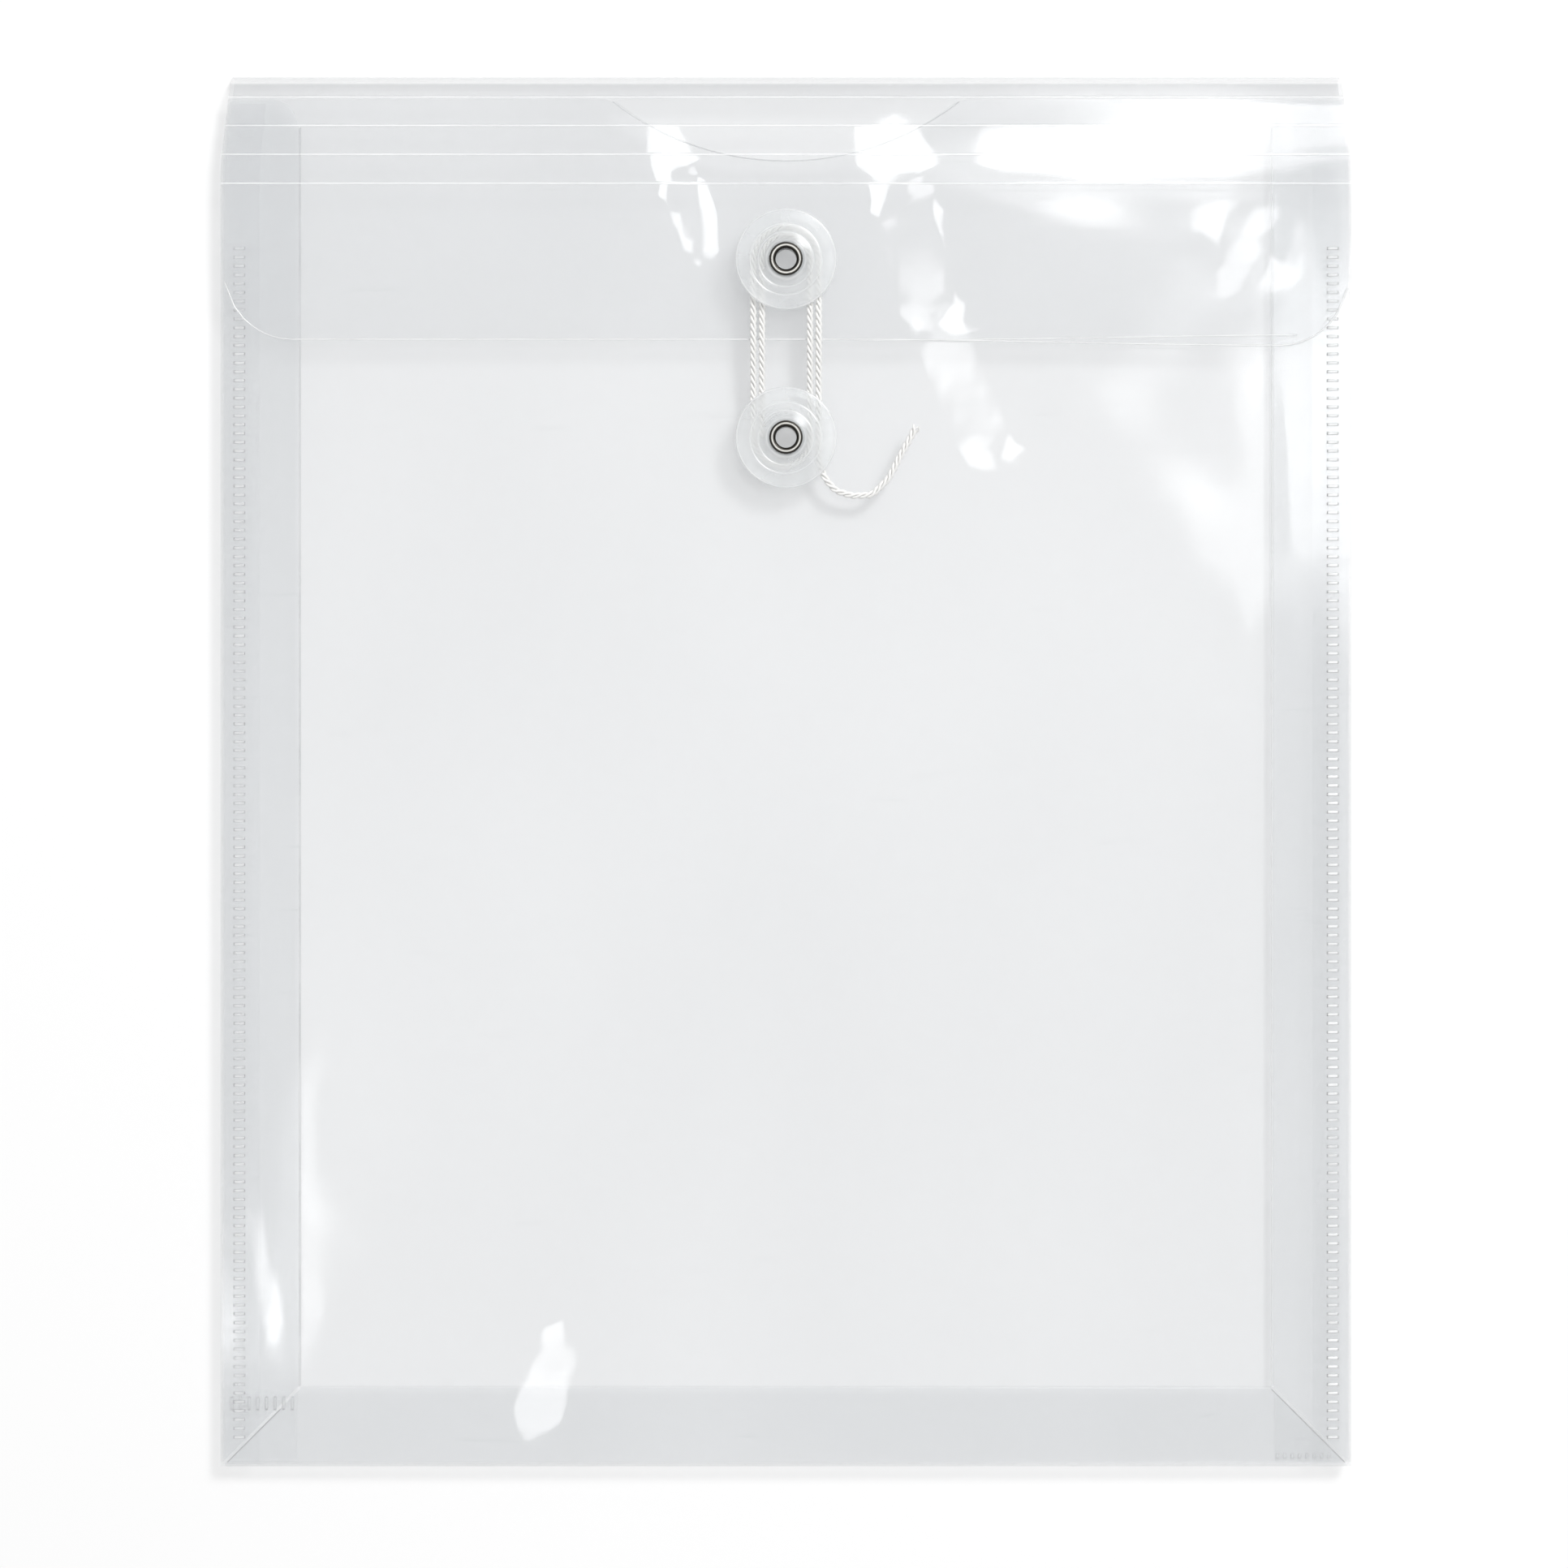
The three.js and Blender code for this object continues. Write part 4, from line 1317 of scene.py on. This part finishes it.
def make_stage():
    spots = [(-1, -1), (1, -1), (1, 1), (-1, 1)]
    vertices = [Vector((x * FLOOR_REACH, y * FLOOR_REACH, FLOOR_LEVEL)) for x, y in spots]
    floor = new_piece("floor", vertices, [(0, 1, 2, 3)], floor_material(), False)


def make_lights():
    world = bpy.data.worlds.new("studio")
    bpy.context.scene.world = world
    nodes = Nodes(world)
    ambient = nodes.add("ShaderNodeBackground", {"Strength": AMBIENT}).outputs[0]
    white = nodes.add("ShaderNodeBackground", {"Strength": 1.0}).outputs[0]
    nodes.finish(nodes.mix(nodes.seen_rays(), ambient, white), "ShaderNodeOutputWorld")
    for name, spot, wide, tall, power in SOFTBOXES:
        lamp = bpy.data.lights.new(name, "AREA")
        lamp.shape = "RECTANGLE"
        lamp.size = wide
        lamp.size_y = tall
        lamp.energy = power
        light = bpy.data.objects.new(name, lamp)
        light.location = spot
        aim = Vector((0, 0, 0)) - Vector(spot)
        light.rotation_euler = aim.to_track_quat("-Z", "Y").to_euler()
        bpy.context.scene.collection.objects.link(light)


def make_camera():
    data = bpy.data.cameras.new("camera")
    data.sensor_width = SENSOR
    data.sensor_height = SENSOR
    data.sensor_fit = "HORIZONTAL"
    data.lens = SENSOR * (CAMERA_HEIGHT - FRONT_Z) / FRAME_WIDTH
    data.clip_start = 0.05
    camera = bpy.data.objects.new("camera", data)
    camera.location = (*FRAME_CENTRE, CAMERA_HEIGHT)
    bpy.context.scene.collection.objects.link(camera)
    bpy.context.scene.camera = camera


make_camera()
make_stage()
make_lights()
make_string()
make_back()
make_front()
for side, word in ((-1, "left"), (1, "right")):
    make_side_gusset(side, word, False)
    make_side_gusset(side, word, True)
    make_side_rolls(side, word)
    make_seam(word)
    make_flange(word)
    make_tab(word)
make_bottom_gusset(False)
make_bottom_gusset(True)
make_bottom_rolls()
make_spine()
make_creases()
make_flap()
make_lines()
make_button("upper", UPPER, "flap", "upper_button")
make_button("lower", LOWER, "front", "lower_button")

scene = bpy.context.scene
scene.view_settings.view_transform = "Standard"
scene.cycles.transparent_max_bounces = 64
